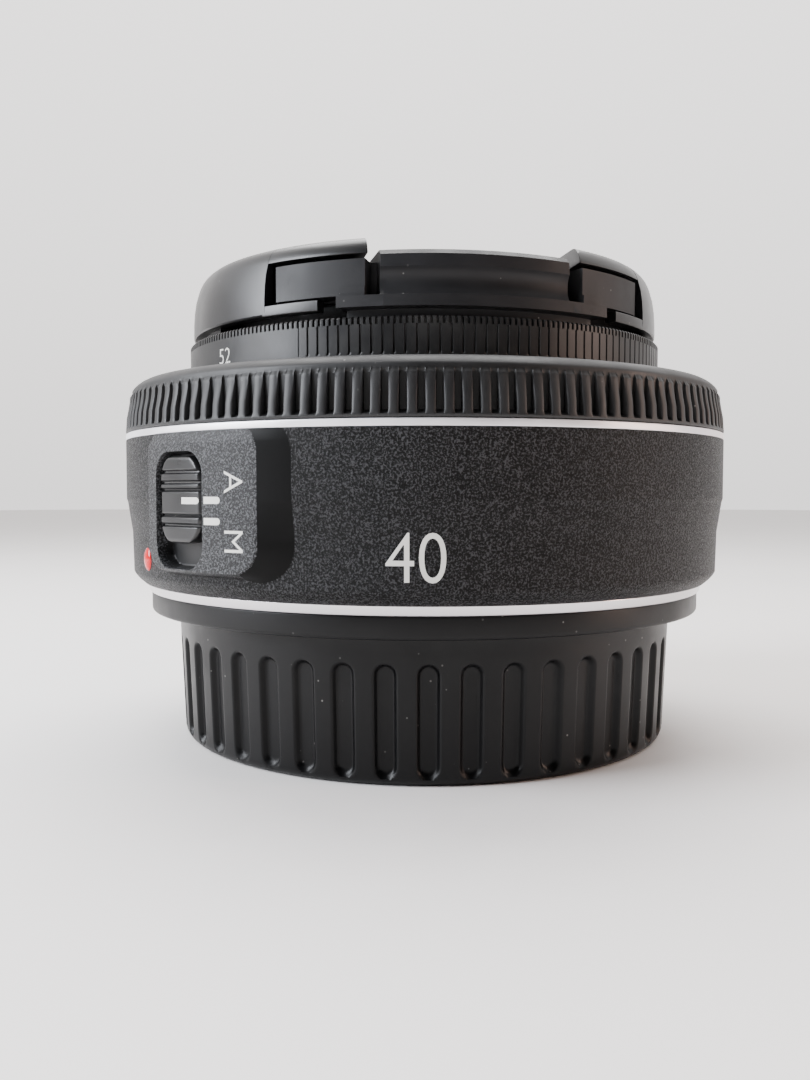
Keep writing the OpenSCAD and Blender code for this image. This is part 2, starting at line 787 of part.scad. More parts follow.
module ring_sensor() {
    color([0.08, 0.08, 0.085]) for (a = [-12, 12]) at_angle(a)
        translate([rim_r + 1.9, -1.6, z_trim - 3.5]) cube([2.2, 3.2, 2]);
}

// ---- Front barrel and optics ----

module front_barrel() {
    color([0.1, 0.1, 0.105]) {
        difference() {
            rotate_extrude() polygon([
                [shelf_r, z_plate], [tube_r - tube_wall, z_plate], [tube_r - tube_wall, z_floor + 3],
                [tube_r, z_floor + 3], [tube_r, z_plate], [rim_r - 0.9, z_plate],
                [rim_r - 0.9, z_plate - 4.5],
                [rim_r, z_plate - 4.5], [rim_r, z_front], [thread_r, z_front],
                [thread_r, z_plate + plate_t], [shelf_r, z_plate + plate_t]
            ]);
            for (k = [0:2]) at_angle(20 + k * 120)
                radial_pin(follower_r + 0.02, tube_r - tube_wall - 1, tube_r + 1, z_follower);
            for (k = [0:2]) at_angle(60 + k * 120) translate([cell_screw_r, 0, z_plate - cut])
                cylinder(r = 0.6, h = plate_t + 2 * cut);
        }
    }
}

module cam_followers() {
    color([0.85, 0.84, 0.8]) for (k = [0:2]) at_angle(20 + k * 120)
        radial_pin(follower_r, tube_r - tube_wall + 0.2, cam_out_r - 0.1, z_follower);
}

cell_screw_r = 16.5;
cell_flange_t = 0.5;
name_ring_t = 0.4;

module front_cell() {
    z_top = z_cell_flange + cell_flange_t;
    color([0.06, 0.06, 0.065]) difference() {
        rotate_extrude() polygon([
            [third_edge_r - 1, z_cell], [10.6, z_cell], [10.6, z_cell_flange],
            [tube_r - 1.6, z_cell_flange],
            [tube_r - 1.6, z_top], [first_edge_r + run, z_top], [first_edge_r + run, z_shoulder],
            [third_edge_r + run, z_shoulder], [third_edge_r + run, z_third], [third_edge_r - 1, z_third]
        ]);
        for (k = [0:2]) at_angle(60 + k * 120) translate([cell_screw_r, 0, z_cell_flange - cut])
            cylinder(r = 0.6, h = cell_flange_t + 2 * cut);
    }
}

module cell_screws() {
    color([0.6, 0.6, 0.62]) for (k = [0:2]) at_angle(60 + k * 120)
        translate([cell_screw_r, 0, z_cell_flange + cell_flange_t + 0.3]) mirror([0, 0, 1])
            screw(0.9, 0.3, 0.5, 1.9);
}

module front_name_ring() {
    z0 = z_cell_flange + cell_flange_t + 0.02;
    color([0.05, 0.05, 0.055]) difference() {
        union() {
            tube(thread_r - 0.1, first_edge_r + 0.5, z0, z0 + name_ring_t);
        }
        for (k = [0:2]) at_angle(60 + k * 120) translate([cell_screw_r, 0, z0 - cut])
            cylinder(r = 1.05, h = cut + name_ring_t - 0.1);
    }
}

module front_element() {
    color([0.6, 0.75, 0.8, 0.4])
        lens_element(first_edge_r, z_first_rear, z_first_top, -60, 22, first_edge_r);
}

module front_retainer() {
    z0 = z_first_top - 1.6;
    color([0.05, 0.05, 0.05]) tube(first_edge_r, first_edge_r - 0.6, z0, z_cell_flange + cell_flange_t);
}

module lens_spacer() {
    color([0.05, 0.05, 0.05]) tube(third_edge_r, third_edge_r - 0.6, z_second_top - 1.75, z_shoulder);
}

module second_element() {
    color([0.6, 0.75, 0.8, 0.4])
        lens_element(third_edge_r, z_doublet + cement, z_second_top, 60, 16, third_edge_r);
}

module third_element() {
    clear = 6.6;
    sag = 9.5 - sqrt(9.5 ^ 2 - clear ^ 2);
    color([0.6, 0.75, 0.8, 0.4]) difference() {
        disc(third_edge_r, z_third + 0.02, z_doublet + 0.6);
        translate([0, 0, z_doublet + 60]) fine_sphere(60);
        translate([0, 0, z_third + 0.02 + sag - 9.5]) fine_sphere(9.5);
    }
}

module fourth_element() {
    clear = 6.4;
    sag = 11 - sqrt(11 ^ 2 - clear ^ 2);
    color([0.6, 0.75, 0.8, 0.4]) difference() {
        disc(rear_edge_r, z_rear_doublet - 0.9, z_fourth);
        translate([0, 0, z_fourth - sag + 11]) fine_sphere(11);
        translate([0, 0, z_rear_doublet - 40]) fine_sphere(40);
    }
}

module fifth_element() {
    color([0.6, 0.75, 0.8, 0.4])
        lens_element(rear_edge_r, z_fifth, z_rear_doublet - cement, 15, 40, rear_edge_r);
}

module rear_element() {
    color([0.6, 0.75, 0.8, 0.4]) {
        lens_element(last_edge_r, z_last, z_last_top, 60, 45, last_edge_r);
    }
}

module rear_cell() {
    color([0.06, 0.06, 0.065]) {
        rotate_extrude() polygon([
            [last_edge_r + run, z_last - 0.6], [11, z_last - 0.6], [11, z_base],
            [rear_edge_r + run, z_base],
            [rear_edge_r + run, z_fifth + 2.2], [7.9, z_fifth + 2.2], [7.9, z_last_top - 0.65],
            [last_edge_r + run, z_last_top - 0.65]
        ]);
        tube(last_edge_r + 0.2, last_edge_r - 0.6, z_last - 0.6, z_last + 0.5);
    }
}

// ---- Iris ----

module iris_base() {
    color([0.1, 0.1, 0.1]) difference() {
        tube(tube_r - tube_wall - 0.2, iris_open_r - 0.2, z_base, z_base + base_t);
        for (k = [0:blade_count - 1]) rotate([0, 0, k * 360 / blade_count])
            translate([pivot_orbit, 0, z_base - cut]) cylinder(r = pin_r + pin_play, h = base_t + 2 * cut);
        rotate([0, 0, iris_motor_turn]) translate([iris_motor_orbit, 0, z_base - cut])
            cylinder(r = 0.9, h = base_t + 2 * cut);
    }
}

// Blade seen from the front, pivot on +X: a crescent round the open iris and an ear for the two pins
module blade_outline() {
    outer = 9.3;
    crescent = [
        for (a = [-2:6:100]) polar(outer, a),
        for (a = [100:-6:-8]) polar(iris_open_r, a)
    ];
    polygon(crescent);
    polygon([
        polar(8.6, -5), polar(pivot_orbit - 0.4, -4), polar(pivot_orbit + 0.7, -1.5),
        polar(pivot_orbit + 0.7, 2),
        polar(pivot_orbit, 4.5), polar(drive_pin_orbit + 0.7, drive_pin_angle + 4),
        polar(8.6, drive_pin_angle + 8)
    ]);
}

module iris_blade(number) {
    z = z_blades + (number - 1) * layer;
    color([0.16, 0.16, 0.17]) rotate([0, 0, (number - 1) * 360 / blade_count]) {
        translate([0, 0, z]) linear_extrude(height = blade_t) blade_outline();
        translate([pivot_orbit, 0, z_base + 0.1]) cylinder(r = pin_r, h = z - z_base - 0.05);
        rotate([0, 0, drive_pin_angle]) translate([drive_pin_orbit, 0, z])
            cylinder(r = pin_r, h = z_drive + drive_t - 0.1 - z);
    }
}

module iris_blade_1() { iris_blade(1); }
module iris_blade_2() { iris_blade(2); }
module iris_blade_3() { iris_blade(3); }
module iris_blade_4() { iris_blade(4); }
module iris_blade_5() { iris_blade(5); }
module iris_blade_6() { iris_blade(6); }
module iris_blade_7() { iris_blade(7); }

// Place of a blade's drive pin, seen from the drive ring, at a share of the full turn
function pin_place(share) =
    let (
        start = polar(drive_pin_orbit, drive_pin_angle) - [pivot_orbit, 0],
        moved = turned([start], blade_turn * share)[0] + [pivot_orbit, 0]
    )
    turned([moved], iris_ring_turn * share)[0];

// Curved slot that lets the drive pin through at every turn
module pin_slot() {
    w = pin_r + pin_play;
    steps = 10;
    path = [for (k = [0:steps]) pin_place(k / steps)];
    side = [for (k = [0:steps]) let (
        a = path[max(k - 1, 0)], b = path[min(k + 1, steps)], d = (b - a) / norm(b - a)
    ) [-d[1], d[0]] * w];
    polygon(concat(
        [for (k = [0:steps]) path[k] + side[k]],
        [for (t = [30:30:150]) path[steps] + turned([side[steps]], -t)[0]],
        [for (k = [steps:-1:0]) path[k] - side[k]],
        [for (t = [30:30:150]) path[0] - turned([side[0]], -t)[0]]
    ));
}

module iris_drive_ring() {
    color([0.75, 0.74, 0.7]) translate([0, 0, z_drive]) {
        linear_extrude(height = drive_t) difference() {
            circle(r = iris_pitch_r - 0.45);
            circle(r = 8.7);
            for (k = [0:blade_count - 1]) rotate([0, 0, k * 360 / blade_count]) pin_slot();
        }
        rotate([0, 0, iris_motor_turn])
            tooth_sector(iris_teeth, iris_module, iris_pitch_r - 0.6, drive_t, -2, 7);
    }
}

module iris_cover() {
    color([0.1, 0.1, 0.1]) {
        tube(tube_r - tube_wall - 0.2, iris_open_r - 0.2, z_cover, z_iris_top);
        for (k = [0:2]) rotate([0, 0, 12 + k * 120])
            translate([tube_r - tube_wall - 1.2, 0, z_base + base_t])
            cylinder(r = 0.8, h = z_cover - z_base - base_t + 0.1);
    }
}

iris_mesh_turn = 180 + 180 / iris_pinion_teeth;

module iris_pinion() {
    color([0.8, 0.65, 0.35]) rotate([0, 0, iris_motor_turn]) translate([iris_motor_orbit, 0, 0]) {
        translate([0, 0, z_drive]) rotate([0, 0, iris_mesh_turn])
            small_gear(iris_pinion_teeth, iris_module, 0, drive_t);
        disc(shaft_r, z_base - 0.9, z_drive + 0.1);
    }
}

module iris_motor() {
    color([0.7, 0.7, 0.72])
        rotate([0, 0, iris_motor_turn]) translate([iris_motor_orbit, 0, z_base - iris_motor_l])
        difference() {
            cylinder(r = iris_motor_r, h = iris_motor_l);
            translate([0, 0, iris_motor_l - 1]) cylinder(r = shaft_r + run, h = 2);
        }
}

// ---- Filter ----

module filter_ring() {
    z_thread = z_front - filter_thread_l;
    color([0.09, 0.09, 0.095]) rotate_extrude() polygon([
        [filter_clear_r, z_thread], [thread_r - run, z_thread], [thread_r - run, z_front + run],
        [filter_r, z_front + run], [filter_r, z_filter_top], [thread_r, z_filter_top], [thread_r, z_glass],
        [filter_clear_r, z_glass]
    ]);
}

module filter_glass() {
    color([0.75, 0.85, 0.9, 0.3]) disc(thread_r - 0.2, z_glass, z_glass + filter_glass_t);
}

module filter_retainer() {
    z0 = z_glass + filter_glass_t;
    color([0.06, 0.06, 0.065]) tube(thread_r - 0.02, thread_r - 1.1, z0, z0 + 0.5);
}

// ---- Front cap ----

// Angle sector from the axis outwards, at both ends of the middle band
module band_sector(from, to, inner_r, outer_r, z0, z1) {
    for (side = [0, 180], hand = [0, 1]) rotate([0, 0, cap_turn + side]) mirror([hand, 0, 0])
        arc_block(inner_r, outer_r, z0, z1, from, to);
}

module cap_body() {
    color([0.12, 0.12, 0.125]) difference() {
        union() {
            // Middle band with a coved wall
            intersection() {
                difference() {
                    rotate_extrude() polygon([
                        [0, z_cap], [cap_r, z_cap], [cap_r, z_cap + cap_flange_h],
                        [cap_r - 0.9, z_cap + cap_flange_h + 0.3], [cap_r - 1.3, z_band - 0.5],
                        [cap_r - 1.9, z_band], [cap_r - 9, z_band + 0.3], [0, z_band + 0.3]
                    ]);
                    translate([0, 0, z_cap + 2.6]) rotate_extrude() translate([cap_r, 0]) circle(r = 1.7);
                }
                rotate([0, 0, cap_turn]) translate([-band_half_w, -cap_r - cut, z_cap])
                    cube([2 * band_half_w, 2 * (cap_r + cut), cap_h + cut]);
            }
            // Deck that the levers slide on, and the plug inside the filter's thread
            disc(deck_r, z_cap + cap_flange_h, z_deck);
            disc(plug_r, z_cap - cap_gap - 0.8, z_cap + cap_flange_h + 0.1);
            // Fixed blocks beside the band, and their feet
            band_sector(0, foot_to, deck_r - 1, cap_r, z_cap, z_cap + cap_flange_h);
            band_sector(block_from, block_to, deck_r - 1, lever_foot_r - 0.5,
                z_cap + cap_flange_h + 0.2, z_deck);
            band_sector(block_from, foot_to - 0.2, deck_r - 1.2, lever_foot_r - 0.3, z_cap + 0.5, z_cap + 2);
            // Ring wall of the plug beside the band
            band_sector(0, foot_to - 1, plug_r - 1.1, hook_r - 0.2, z_cap - cap_gap - 0.2, z_cap + 0.2);
        }
        disc(plug_r - 1.2, z_cap - cap_gap - 1.6, z_cap - 0.4);
        for (side = [-1, 1], row = [-1, 1]) rotate([0, 0, cap_turn])
            translate([side * spring_end, row * spring_row, z_spring])
            rotate([0, side * 90, 0]) translate([0, 0, -spring_l - 0.05])
                cylinder(r = spring_r + seat, h = spring_l + 5);
    }
}

z_spring = z_cap + cap_flange_h + 1.7;
spring_end = sqrt(lever_in_r ^ 2 - (spring_row + spring_r) ^ 2) - lever_travel - 0.05;

// Pinch lever whose middle is on +X
module cap_lever() {
    color([0.13, 0.13, 0.135]) difference() {
        union() {
            // Curved outer skirt
            rotate([0, 0, -90 + skirt_from]) rotate_extrude(angle = 180 - 2 * skirt_from) polygon([
                [lever_in_r, z_cap], [lever_foot_r, z_cap], [lever_top_r + 0.7, z_lever - 1.2],
                [lever_top_r, z_lever], [lever_in_r - 1.5, z_lever],
                [lever_in_r - 1.5, z_lever - lever_plate_t], [lever_in_r, z_lever - lever_plate_t]
            ]);
            // Top plate, a segment beside the middle band
            intersection() {
                rotate_extrude() polygon([
                    [0, z_lever - lever_plate_t], [lever_top_r + 1, z_lever - lever_plate_t],
                    [lever_top_r + 0.7, z_lever - 1.2], [lever_top_r, z_lever - 0.1],
                    [lever_top_r - 0.4, z_lever], [0, z_lever]
                ]);
                translate([chord, -cap_r, z_lever - lever_plate_t - cut]) cube([cap_r, 2 * cap_r, cap_r]);
            }
            // Lips that reach under the fixed blocks
            rotate([0, 0, -90 + lip_from]) rotate_extrude(angle = 180 - 2 * lip_from)
                translate([lever_in_r, z_cap - 0.1]) square([lever_wall, cap_flange_h]);
            // Hook in the filter's thread
            rotate([0, 0, -22]) rotate_extrude(angle = 44)
                translate([hook_in_r, z_cap - cap_gap - 1.1]) square([hook_wall, cap_gap + 2]);
            rotate([0, 0, -22]) rotate_extrude(angle = 44)
                translate([hook_in_r, z_cap]) square([lever_in_r - hook_in_r + 0.3, 0.9]);
            // Posts that guide the springs
            for (row = [-1, 1]) translate([spring_end - 1, row * spring_row, z_spring]) rotate([0, 90, 0])
                cylinder(r = spring_post_r, h = lever_in_r - spring_end + 1);
        }
    }
}

module cap_lever_right() {
    rotate([0, 0, cap_turn]) cap_lever();
}

module cap_lever_left() {
    rotate([0, 0, cap_turn + 180]) cap_lever();
}

module cap_springs() {
    color([0.7, 0.7, 0.72]) for (side = [-1, 1], row = [-1, 1])
        rotate([0, 0, cap_turn]) translate([side * spring_end, row * spring_row, z_spring])
            rotate([0, side * 90, 0]) translate([0, 0, -spring_l]) difference() {
                cylinder(r = spring_r, h = spring_l);
                translate([0, 0, -cut]) cylinder(r = spring_r - 0.5, h = spring_l + 2 * cut);
            }
}

rear_cap();
mount_bayonet();
mount_screws();
contact_block();
contact_pins();
rear_baffle();
baffle_screws();
rear_casing();
index_dot();
trim_ring();
switch_knob();
switch_slider();
main_board();
board_chips();
board_screws();
flex_cable();
guide_tube();
cam_ring();
cam_ring_clip();
focus_motor();
motor_pinion();
idler_gear();
gear_bracket();
ring_bed();
focus_ring();
ring_retainer();
ring_sensor();
front_barrel();
cam_followers();
front_cell();
cell_screws();
front_name_ring();
front_element();
front_retainer();
lens_spacer();
second_element();
third_element();
iris_base();
iris_blade_1();
iris_blade_2();
iris_blade_3();
iris_blade_4();
iris_blade_5();
iris_blade_6();
iris_blade_7();
iris_drive_ring();
iris_cover();
iris_motor();
iris_pinion();
rear_cell();
fourth_element();
fifth_element();
rear_element();
filter_ring();
filter_glass();
filter_retainer();
cap_body();
cap_lever_left();
cap_lever_right();
cap_springs();
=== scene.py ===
"""Prime camera lens with its filter and caps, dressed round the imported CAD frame.

Sizes inside the classes are in millimetres. Angles run round the optical axis from -Y, positive
towards +X. Every mesh is written in metres, in the frame of the CAD model.
"""

import json
import logging
import math
from dataclasses import dataclass
from enum import Enum
from typing import Callable, Sequence

import bmesh
import bpy
import numpy as np
from mathutils import Matrix, Vector

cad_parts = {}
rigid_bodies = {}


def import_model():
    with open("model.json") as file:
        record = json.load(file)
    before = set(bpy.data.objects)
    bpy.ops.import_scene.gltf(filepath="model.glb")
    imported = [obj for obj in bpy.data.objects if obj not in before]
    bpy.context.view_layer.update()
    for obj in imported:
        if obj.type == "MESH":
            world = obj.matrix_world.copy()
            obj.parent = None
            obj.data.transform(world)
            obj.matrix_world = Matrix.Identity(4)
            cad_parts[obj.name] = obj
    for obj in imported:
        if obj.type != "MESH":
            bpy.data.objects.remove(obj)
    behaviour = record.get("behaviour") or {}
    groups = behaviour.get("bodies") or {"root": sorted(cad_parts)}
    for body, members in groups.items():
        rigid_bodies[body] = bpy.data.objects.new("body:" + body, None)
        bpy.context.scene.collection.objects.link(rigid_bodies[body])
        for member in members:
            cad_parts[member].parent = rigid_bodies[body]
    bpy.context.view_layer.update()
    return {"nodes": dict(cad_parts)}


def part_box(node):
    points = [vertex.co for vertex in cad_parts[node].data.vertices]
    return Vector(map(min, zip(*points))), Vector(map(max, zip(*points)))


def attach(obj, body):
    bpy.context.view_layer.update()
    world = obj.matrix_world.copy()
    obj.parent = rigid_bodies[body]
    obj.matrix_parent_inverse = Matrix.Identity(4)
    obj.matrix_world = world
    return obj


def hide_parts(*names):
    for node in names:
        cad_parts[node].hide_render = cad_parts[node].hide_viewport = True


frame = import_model()

MM = 0.001
LOG = logging.getLogger("lens")

Corner = tuple[float, float, float]
Point = tuple[float, float]
Relief = Callable[[np.ndarray, np.ndarray, np.ndarray], np.ndarray]


class Body(Enum):
    """The moving bodies of the frame that pieces ride on."""

    LENS = "lens_body"
    REAR_CAP = "rear_cap"
    SWITCH = "mode_switch"
    FOCUS_RING = "focus_ring"
    FRONT_GROUP = "front_group"
    FILTER = "filter"
    LEVER_LEFT = "cap_lever_left"
    LEVER_RIGHT = "cap_lever_right"


# ---- Nodes and finishes ----


def linear(hex_colour: str, alpha: float = 1.0) -> tuple[float, float, float, float]:
    """Turns an sRGB hex colour into a linear RGBA colour.

    Args:
        hex_colour: Six hex digits.
        alpha: Opacity.

    Returns:
        The colour as Blender's nodes take it.
    """
    parts = [int(hex_colour[i:i + 2], 16) / 255 for i in (0, 2, 4)]
    lin = [c / 12.92 if c <= 0.04045 else ((c + 0.055) / 1.055) ** 2.4 for c in parts]
    return (lin[0], lin[1], lin[2], alpha)


def add_node(tree: bpy.types.NodeTree, kind: str, inputs: dict | None = None, **settings) -> bpy.types.Node:
    """Adds a node with its settings, and sets or links its inputs.

    Args:
        tree: The node tree.
        kind: The node's type name.
        inputs: Values or output sockets by input name or number.
        **settings: Properties of the node itself.

    Returns:
        The new node.
    """
    node = tree.nodes.new(kind)
    for key, value in settings.items():
        setattr(node, key, value)
    for key, value in (inputs or {}).items():
        if isinstance(value, bpy.types.NodeSocket):
            tree.links.new(value, node.inputs[key])
        else:
            node.inputs[key].default_value = value
    return node


@dataclass(frozen=True)
class Finish:
    """A surface: its colour, gloss and, in subclasses, the pattern that its making left."""

    name: str
    colour: str
    roughness: float = 0.5
    metallic: float = 0.0
    ior: float = 1.5
    coat: float = 0.0
    specular: float = 0.5

    def material(self) -> bpy.types.Material:
        """Builds the material once and hands it back after that.

        Returns:
            The material.
        """
        known = bpy.data.materials.get(self.name)
        if known:
            return known
        material = bpy.data.materials.new(self.name)
        material.use_nodes = True
        tree = material.node_tree
        shader = tree.nodes["Principled BSDF"]
        shader.inputs["Base Color"].default_value = linear(self.colour)
        shader.inputs["Roughness"].default_value = self.roughness
        shader.inputs["Metallic"].default_value = self.metallic
        if self.metallic == 0:
            shader.inputs["IOR"].default_value = self.ior
            shader.inputs["Specular IOR Level"].default_value = self.specular
        shader.inputs["Coat Weight"].default_value = self.coat
        shader.inputs["Coat Roughness"].default_value = 0.1
        place = add_node(tree, "ShaderNodeTexCoord").outputs["Object"]
        self.detail(tree, shader, place)
        return material

    def detail(self, tree: bpy.types.NodeTree, shader: bpy.types.Node, place: bpy.types.NodeSocket) -> None:
        """Adds the pattern. A plain finish has only a faint cloudiness in its gloss."""
        cloud = noise(tree, place, 6.0, 2.0)
        link_range(tree, cloud, shader.inputs["Roughness"], self.roughness * 0.85, self.roughness * 1.15)


def noise(tree: bpy.types.NodeTree, place: bpy.types.NodeSocket, size_mm: float, detail: float = 3.0,
          rough: float = 0.5) -> bpy.types.NodeSocket:
    """Gives the factor of a noise whose blotches are about size_mm wide.

    Args:
        tree: Material's node tree.
        place: Coordinates to read.
        size_mm: Width of a blotch in mm.
        detail: Octaves of finer noise.
        rough: Strength of each finer octave.

    Returns:
        The noise's factor socket.
    """
    node = add_node(tree, "ShaderNodeTexNoise",
                    {"Vector": place, "Scale": 1 / (size_mm * MM), "Detail": detail,
                                                 "Roughness": rough})
    return node.outputs["Factor" if "Factor" in node.outputs else "Fac"]


def link_range(tree: bpy.types.NodeTree, source: bpy.types.NodeSocket, target: bpy.types.NodeSocket,
               low: float, high: float, from_low: float = 0.3, from_high: float = 0.7) -> None:
    """Maps a pattern's factor to the stretch from low to high and links it to a socket.

    Args:
        tree: Material's node tree.
        source: Factor to map.
        target: Socket that takes the result.
        low: Value given at from_low.
        high: Value given at from_high.
        from_low: Factor where the stretch starts.
        from_high: Factor where the stretch ends.
    """
    node = add_node(tree, "ShaderNodeMapRange", {"Value": source, "From Min": from_low, "From Max": from_high,
                                                 "To Min": low, "To Max": high})
    tree.links.new(node.outputs["Result"], target)


def link_bump(tree: bpy.types.NodeTree, shader: bpy.types.Node, height: bpy.types.NodeSocket, depth_mm: float,
              strength: float = 1.0) -> bpy.types.Node:
    """Turns a height pattern into a bump on the shader, on top of any bump it already has.

    Args:
        tree: Material's node tree.
        shader: Principled shader node.
        height: Pattern that sets the height.
        depth_mm: Height of the pattern in mm.
        strength: Share of the bump that is used.

    Returns:
        The bump node.
    """
    node = add_node(tree, "ShaderNodeBump", {"Height": height, "Strength": strength,
                                             "Distance": depth_mm * MM})
    below = shader.inputs["Normal"].links
    if below:
        tree.links.new(below[0].from_socket, node.inputs["Normal"])
    tree.links.new(node.outputs["Normal"], shader.inputs["Normal"])
    return node


def mix_colour(tree: bpy.types.NodeTree, factor: bpy.types.NodeSocket, first: str | bpy.types.NodeSocket,
               second: str | bpy.types.NodeSocket) -> bpy.types.NodeSocket:
    """Mixes two colours, each a hex string or a socket, by a factor.

    Args:
        tree: Material's node tree.
        factor: Share of the second colour.
        first: Colour at a factor of 0.
        second: Colour at a factor of 1.

    Returns:
        The mixed colour's socket.
    """
    node = add_node(tree, "ShaderNodeMix", {"Factor": factor}, data_type="RGBA")
    for index, value in ((6, first), (7, second)):
        if isinstance(value, str):
            node.inputs[index].default_value = linear(value)
        else:
            tree.links.new(value, node.inputs[index])
    return node.outputs[2]


@dataclass(frozen=True)
class MouldedPlastic(Finish):
    """Injection-moulded ABS or polycarbonate: the mould's spark grain dulls the gloss, and dust sits on it.
    """

    grain_mm: float = 0.25
    grain_depth_mm: float = 0.004
    dust: float = 0.35
    worn: str = "3a3a3c"

    def detail(self, tree: bpy.types.NodeTree, shader: bpy.types.Node, place: bpy.types.NodeSocket) -> None:
        """Adds grain, cloudy gloss, rubbed patches and specks of dust.

        Args:
            tree: Material's node tree.
            shader: Principled shader node.
            place: Object coordinates.
        """
        grain = noise(tree, place, self.grain_mm, 4.0, 0.6)
        link_bump(tree, shader, grain, self.grain_depth_mm)
        cloud = noise(tree, place, 7.0, 4.0, 0.6)
        link_range(tree, cloud, shader.inputs["Roughness"], self.roughness * 0.8, self.roughness * 1.2)
        rubbed = add_node(tree, "ShaderNodeMapRange", {"Value": cloud, "From Min": 0.45, "From Max": 0.85,
                                                       "To Max": 0.35})
        base = mix_colour(tree, rubbed.outputs["Result"], self.colour, self.worn)
        specks = add_node(tree, "ShaderNodeTexVoronoi",
                          {"Vector": place, "Scale": 1 / (1.3 * MM), "Randomness": 1.0})
        near = add_node(tree, "ShaderNodeMapRange", {"Value": specks.outputs["Distance"], "From Min": 0.05,
                                                     "From Max": 0.09, "To Min": self.dust, "To Max": 0.0})
        patchy = noise(tree, place, 3.0, 2.0)
        some = add_node(tree, "ShaderNodeMapRange", {"Value": patchy, "From Min": 0.5, "From Max": 0.62})
        amount = add_node(tree, "ShaderNodeMath", {0: near.outputs["Result"], 1: some.outputs["Result"]},
                          operation="MULTIPLY")
        tree.links.new(mix_colour(tree, amount.outputs[0], base, "8d8b88"), shader.inputs["Base Color"])


@dataclass(frozen=True)
class RubbedPlasticGapShade(MouldedPlastic):
    """Moulded plastic whose raised parts are rubbed grey, with painted shade that makes its gaps near black.

    Attributes:
        low_r: Radius up to which the painted shade in the gaps is full.
        high_r: Radius from which there is no painted shade and the rubbed colour shows.
    """

    low_r: float = 33.35
    high_r: float = 33.6
    shoulder_z: float = 38.1

    def detail(self, tree: bpy.types.NodeTree, shader: bpy.types.Node, place: bpy.types.NodeSocket) -> None:
        """Adds the moulded look, then paints shade into the gaps by radius and keeps the shoulder grey by
        height.

        Args:
            tree: Material's node tree.
            shader: Principled shader node.
            place: Object coordinates.
        """
        super().detail(tree, shader, place)
        split = add_node(tree, "ShaderNodeSeparateXYZ", {0: place})
        flat = add_node(tree, "ShaderNodeCombineXYZ", {0: split.outputs[0], 1: split.outputs[1]})
        radius = add_node(tree, "ShaderNodeVectorMath", {0: flat.outputs[0]}, operation="LENGTH")
        raised = add_node(tree, "ShaderNodeMapRange", {"Value": radius.outputs["Value"],
                                                       "From Min": self.low_r * MM,
                                                       "From Max": self.high_r * MM})
        shoulder = add_node(tree, "ShaderNodeMapRange", {"Value": split.outputs[2],
                                                         "From Min": (self.shoulder_z - 0.5) * MM,
                                                         "From Max": (self.shoulder_z + 0.3) * MM})
        shown = add_node(tree, "ShaderNodeMath", {0: raised.outputs[0], 1: shoulder.outputs[0]},
                         operation="MAXIMUM")
        # Painted shade: the gaps between the ribs are mixed to near black, but not on the shoulder
        rubbed = shader.inputs["Base Color"].links[0].from_socket
        tree.links.new(mix_colour(tree, shown.outputs[0], "020202", rubbed), shader.inputs["Base Color"])


@dataclass(frozen=True)
class WrinklePaint(Finish):
    """Fine wrinkle coating: black paint that dried in tiny glossy pimples, whose tops carry a painted glint
    of lighter grey on black.
    """

    pimple_mm: float = 0.18
    depth_mm: float = 0.05
    # Colour of the painted glint on the pimple tops
    tops: str = "3a3a3c"

    def detail(self, tree: bpy.types.NodeTree, shader: bpy.types.Node, place: bpy.types.NodeSocket) -> None:
        """Adds the pimples, with a painted glint: a lighter tone on their tops.

        Args:
            tree: Material's node tree.
            shader: Principled shader node.
            place: Object coordinates.
        """
        bent = add_node(tree, "ShaderNodeTexNoise", {"Vector": place, "Scale": 1 / (0.3 * MM), "Detail": 2.0})
        shifted = add_node(tree, "ShaderNodeVectorMath", {0: bent.outputs["Color"], "Scale": 0.12 * MM},
                           operation="SCALE")
        moved = add_node(tree, "ShaderNodeVectorMath", {0: place, 1: shifted.outputs[0]}, operation="ADD")
        cells = noise(tree, moved.outputs[0], self.pimple_mm, 2.0, 0.65)
        height = add_node(tree, "ShaderNodeMapRange", {"Value": cells, "From Min": 0.42, "From Max": 0.66})
        link_bump(tree, shader, height.outputs["Result"], self.depth_mm)
        # Painted glint: the pimple tops are mixed towards the lighter grey
        tops = add_node(tree, "ShaderNodeMapRange", {"Value": cells, "From Min": 0.5, "From Max": 0.6})
        tree.links.new(mix_colour(tree, tops.outputs["Result"], self.colour, self.tops),
                       shader.inputs["Base Color"])
        link_range(tree, cells, shader.inputs["Roughness"], self.roughness * 1.3, self.roughness * 0.8)


@dataclass(frozen=True)
class TurnedMetal(Finish):
    """Metal turned on a lathe: hairlines run round the axis, so highlights spread across them."""

    line_mm: float = 0.05
    line_depth_mm: float = 0.002

    def detail(self, tree: bpy.types.NodeTree, shader: bpy.types.Node, place: bpy.types.NodeSocket) -> None:
        """Adds turning lines that depend only on the radius and the height.

        Args:
            tree: Material's node tree.
            shader: Principled shader node.
            place: Object coordinates.
        """
        split = add_node(tree, "ShaderNodeSeparateXYZ", {0: place})
        flat = add_node(tree, "ShaderNodeCombineXYZ", {0: split.outputs[0], 1: split.outputs[1]})
        radius = add_node(tree, "ShaderNodeVectorMath", {0: flat.outputs[0]}, operation="LENGTH")
        along = add_node(tree, "ShaderNodeCombineXYZ", {0: radius.outputs["Value"], 1: split.outputs[2]})
        lines = noise(tree, along.outputs[0], self.line_mm, 1.0)
        link_bump(tree, shader, lines, self.line_depth_mm, 0.6)
        smudge = noise(tree, place, 9.0, 3.0)
        link_range(tree, smudge, shader.inputs["Roughness"], self.roughness * 0.7, self.roughness * 1.4)


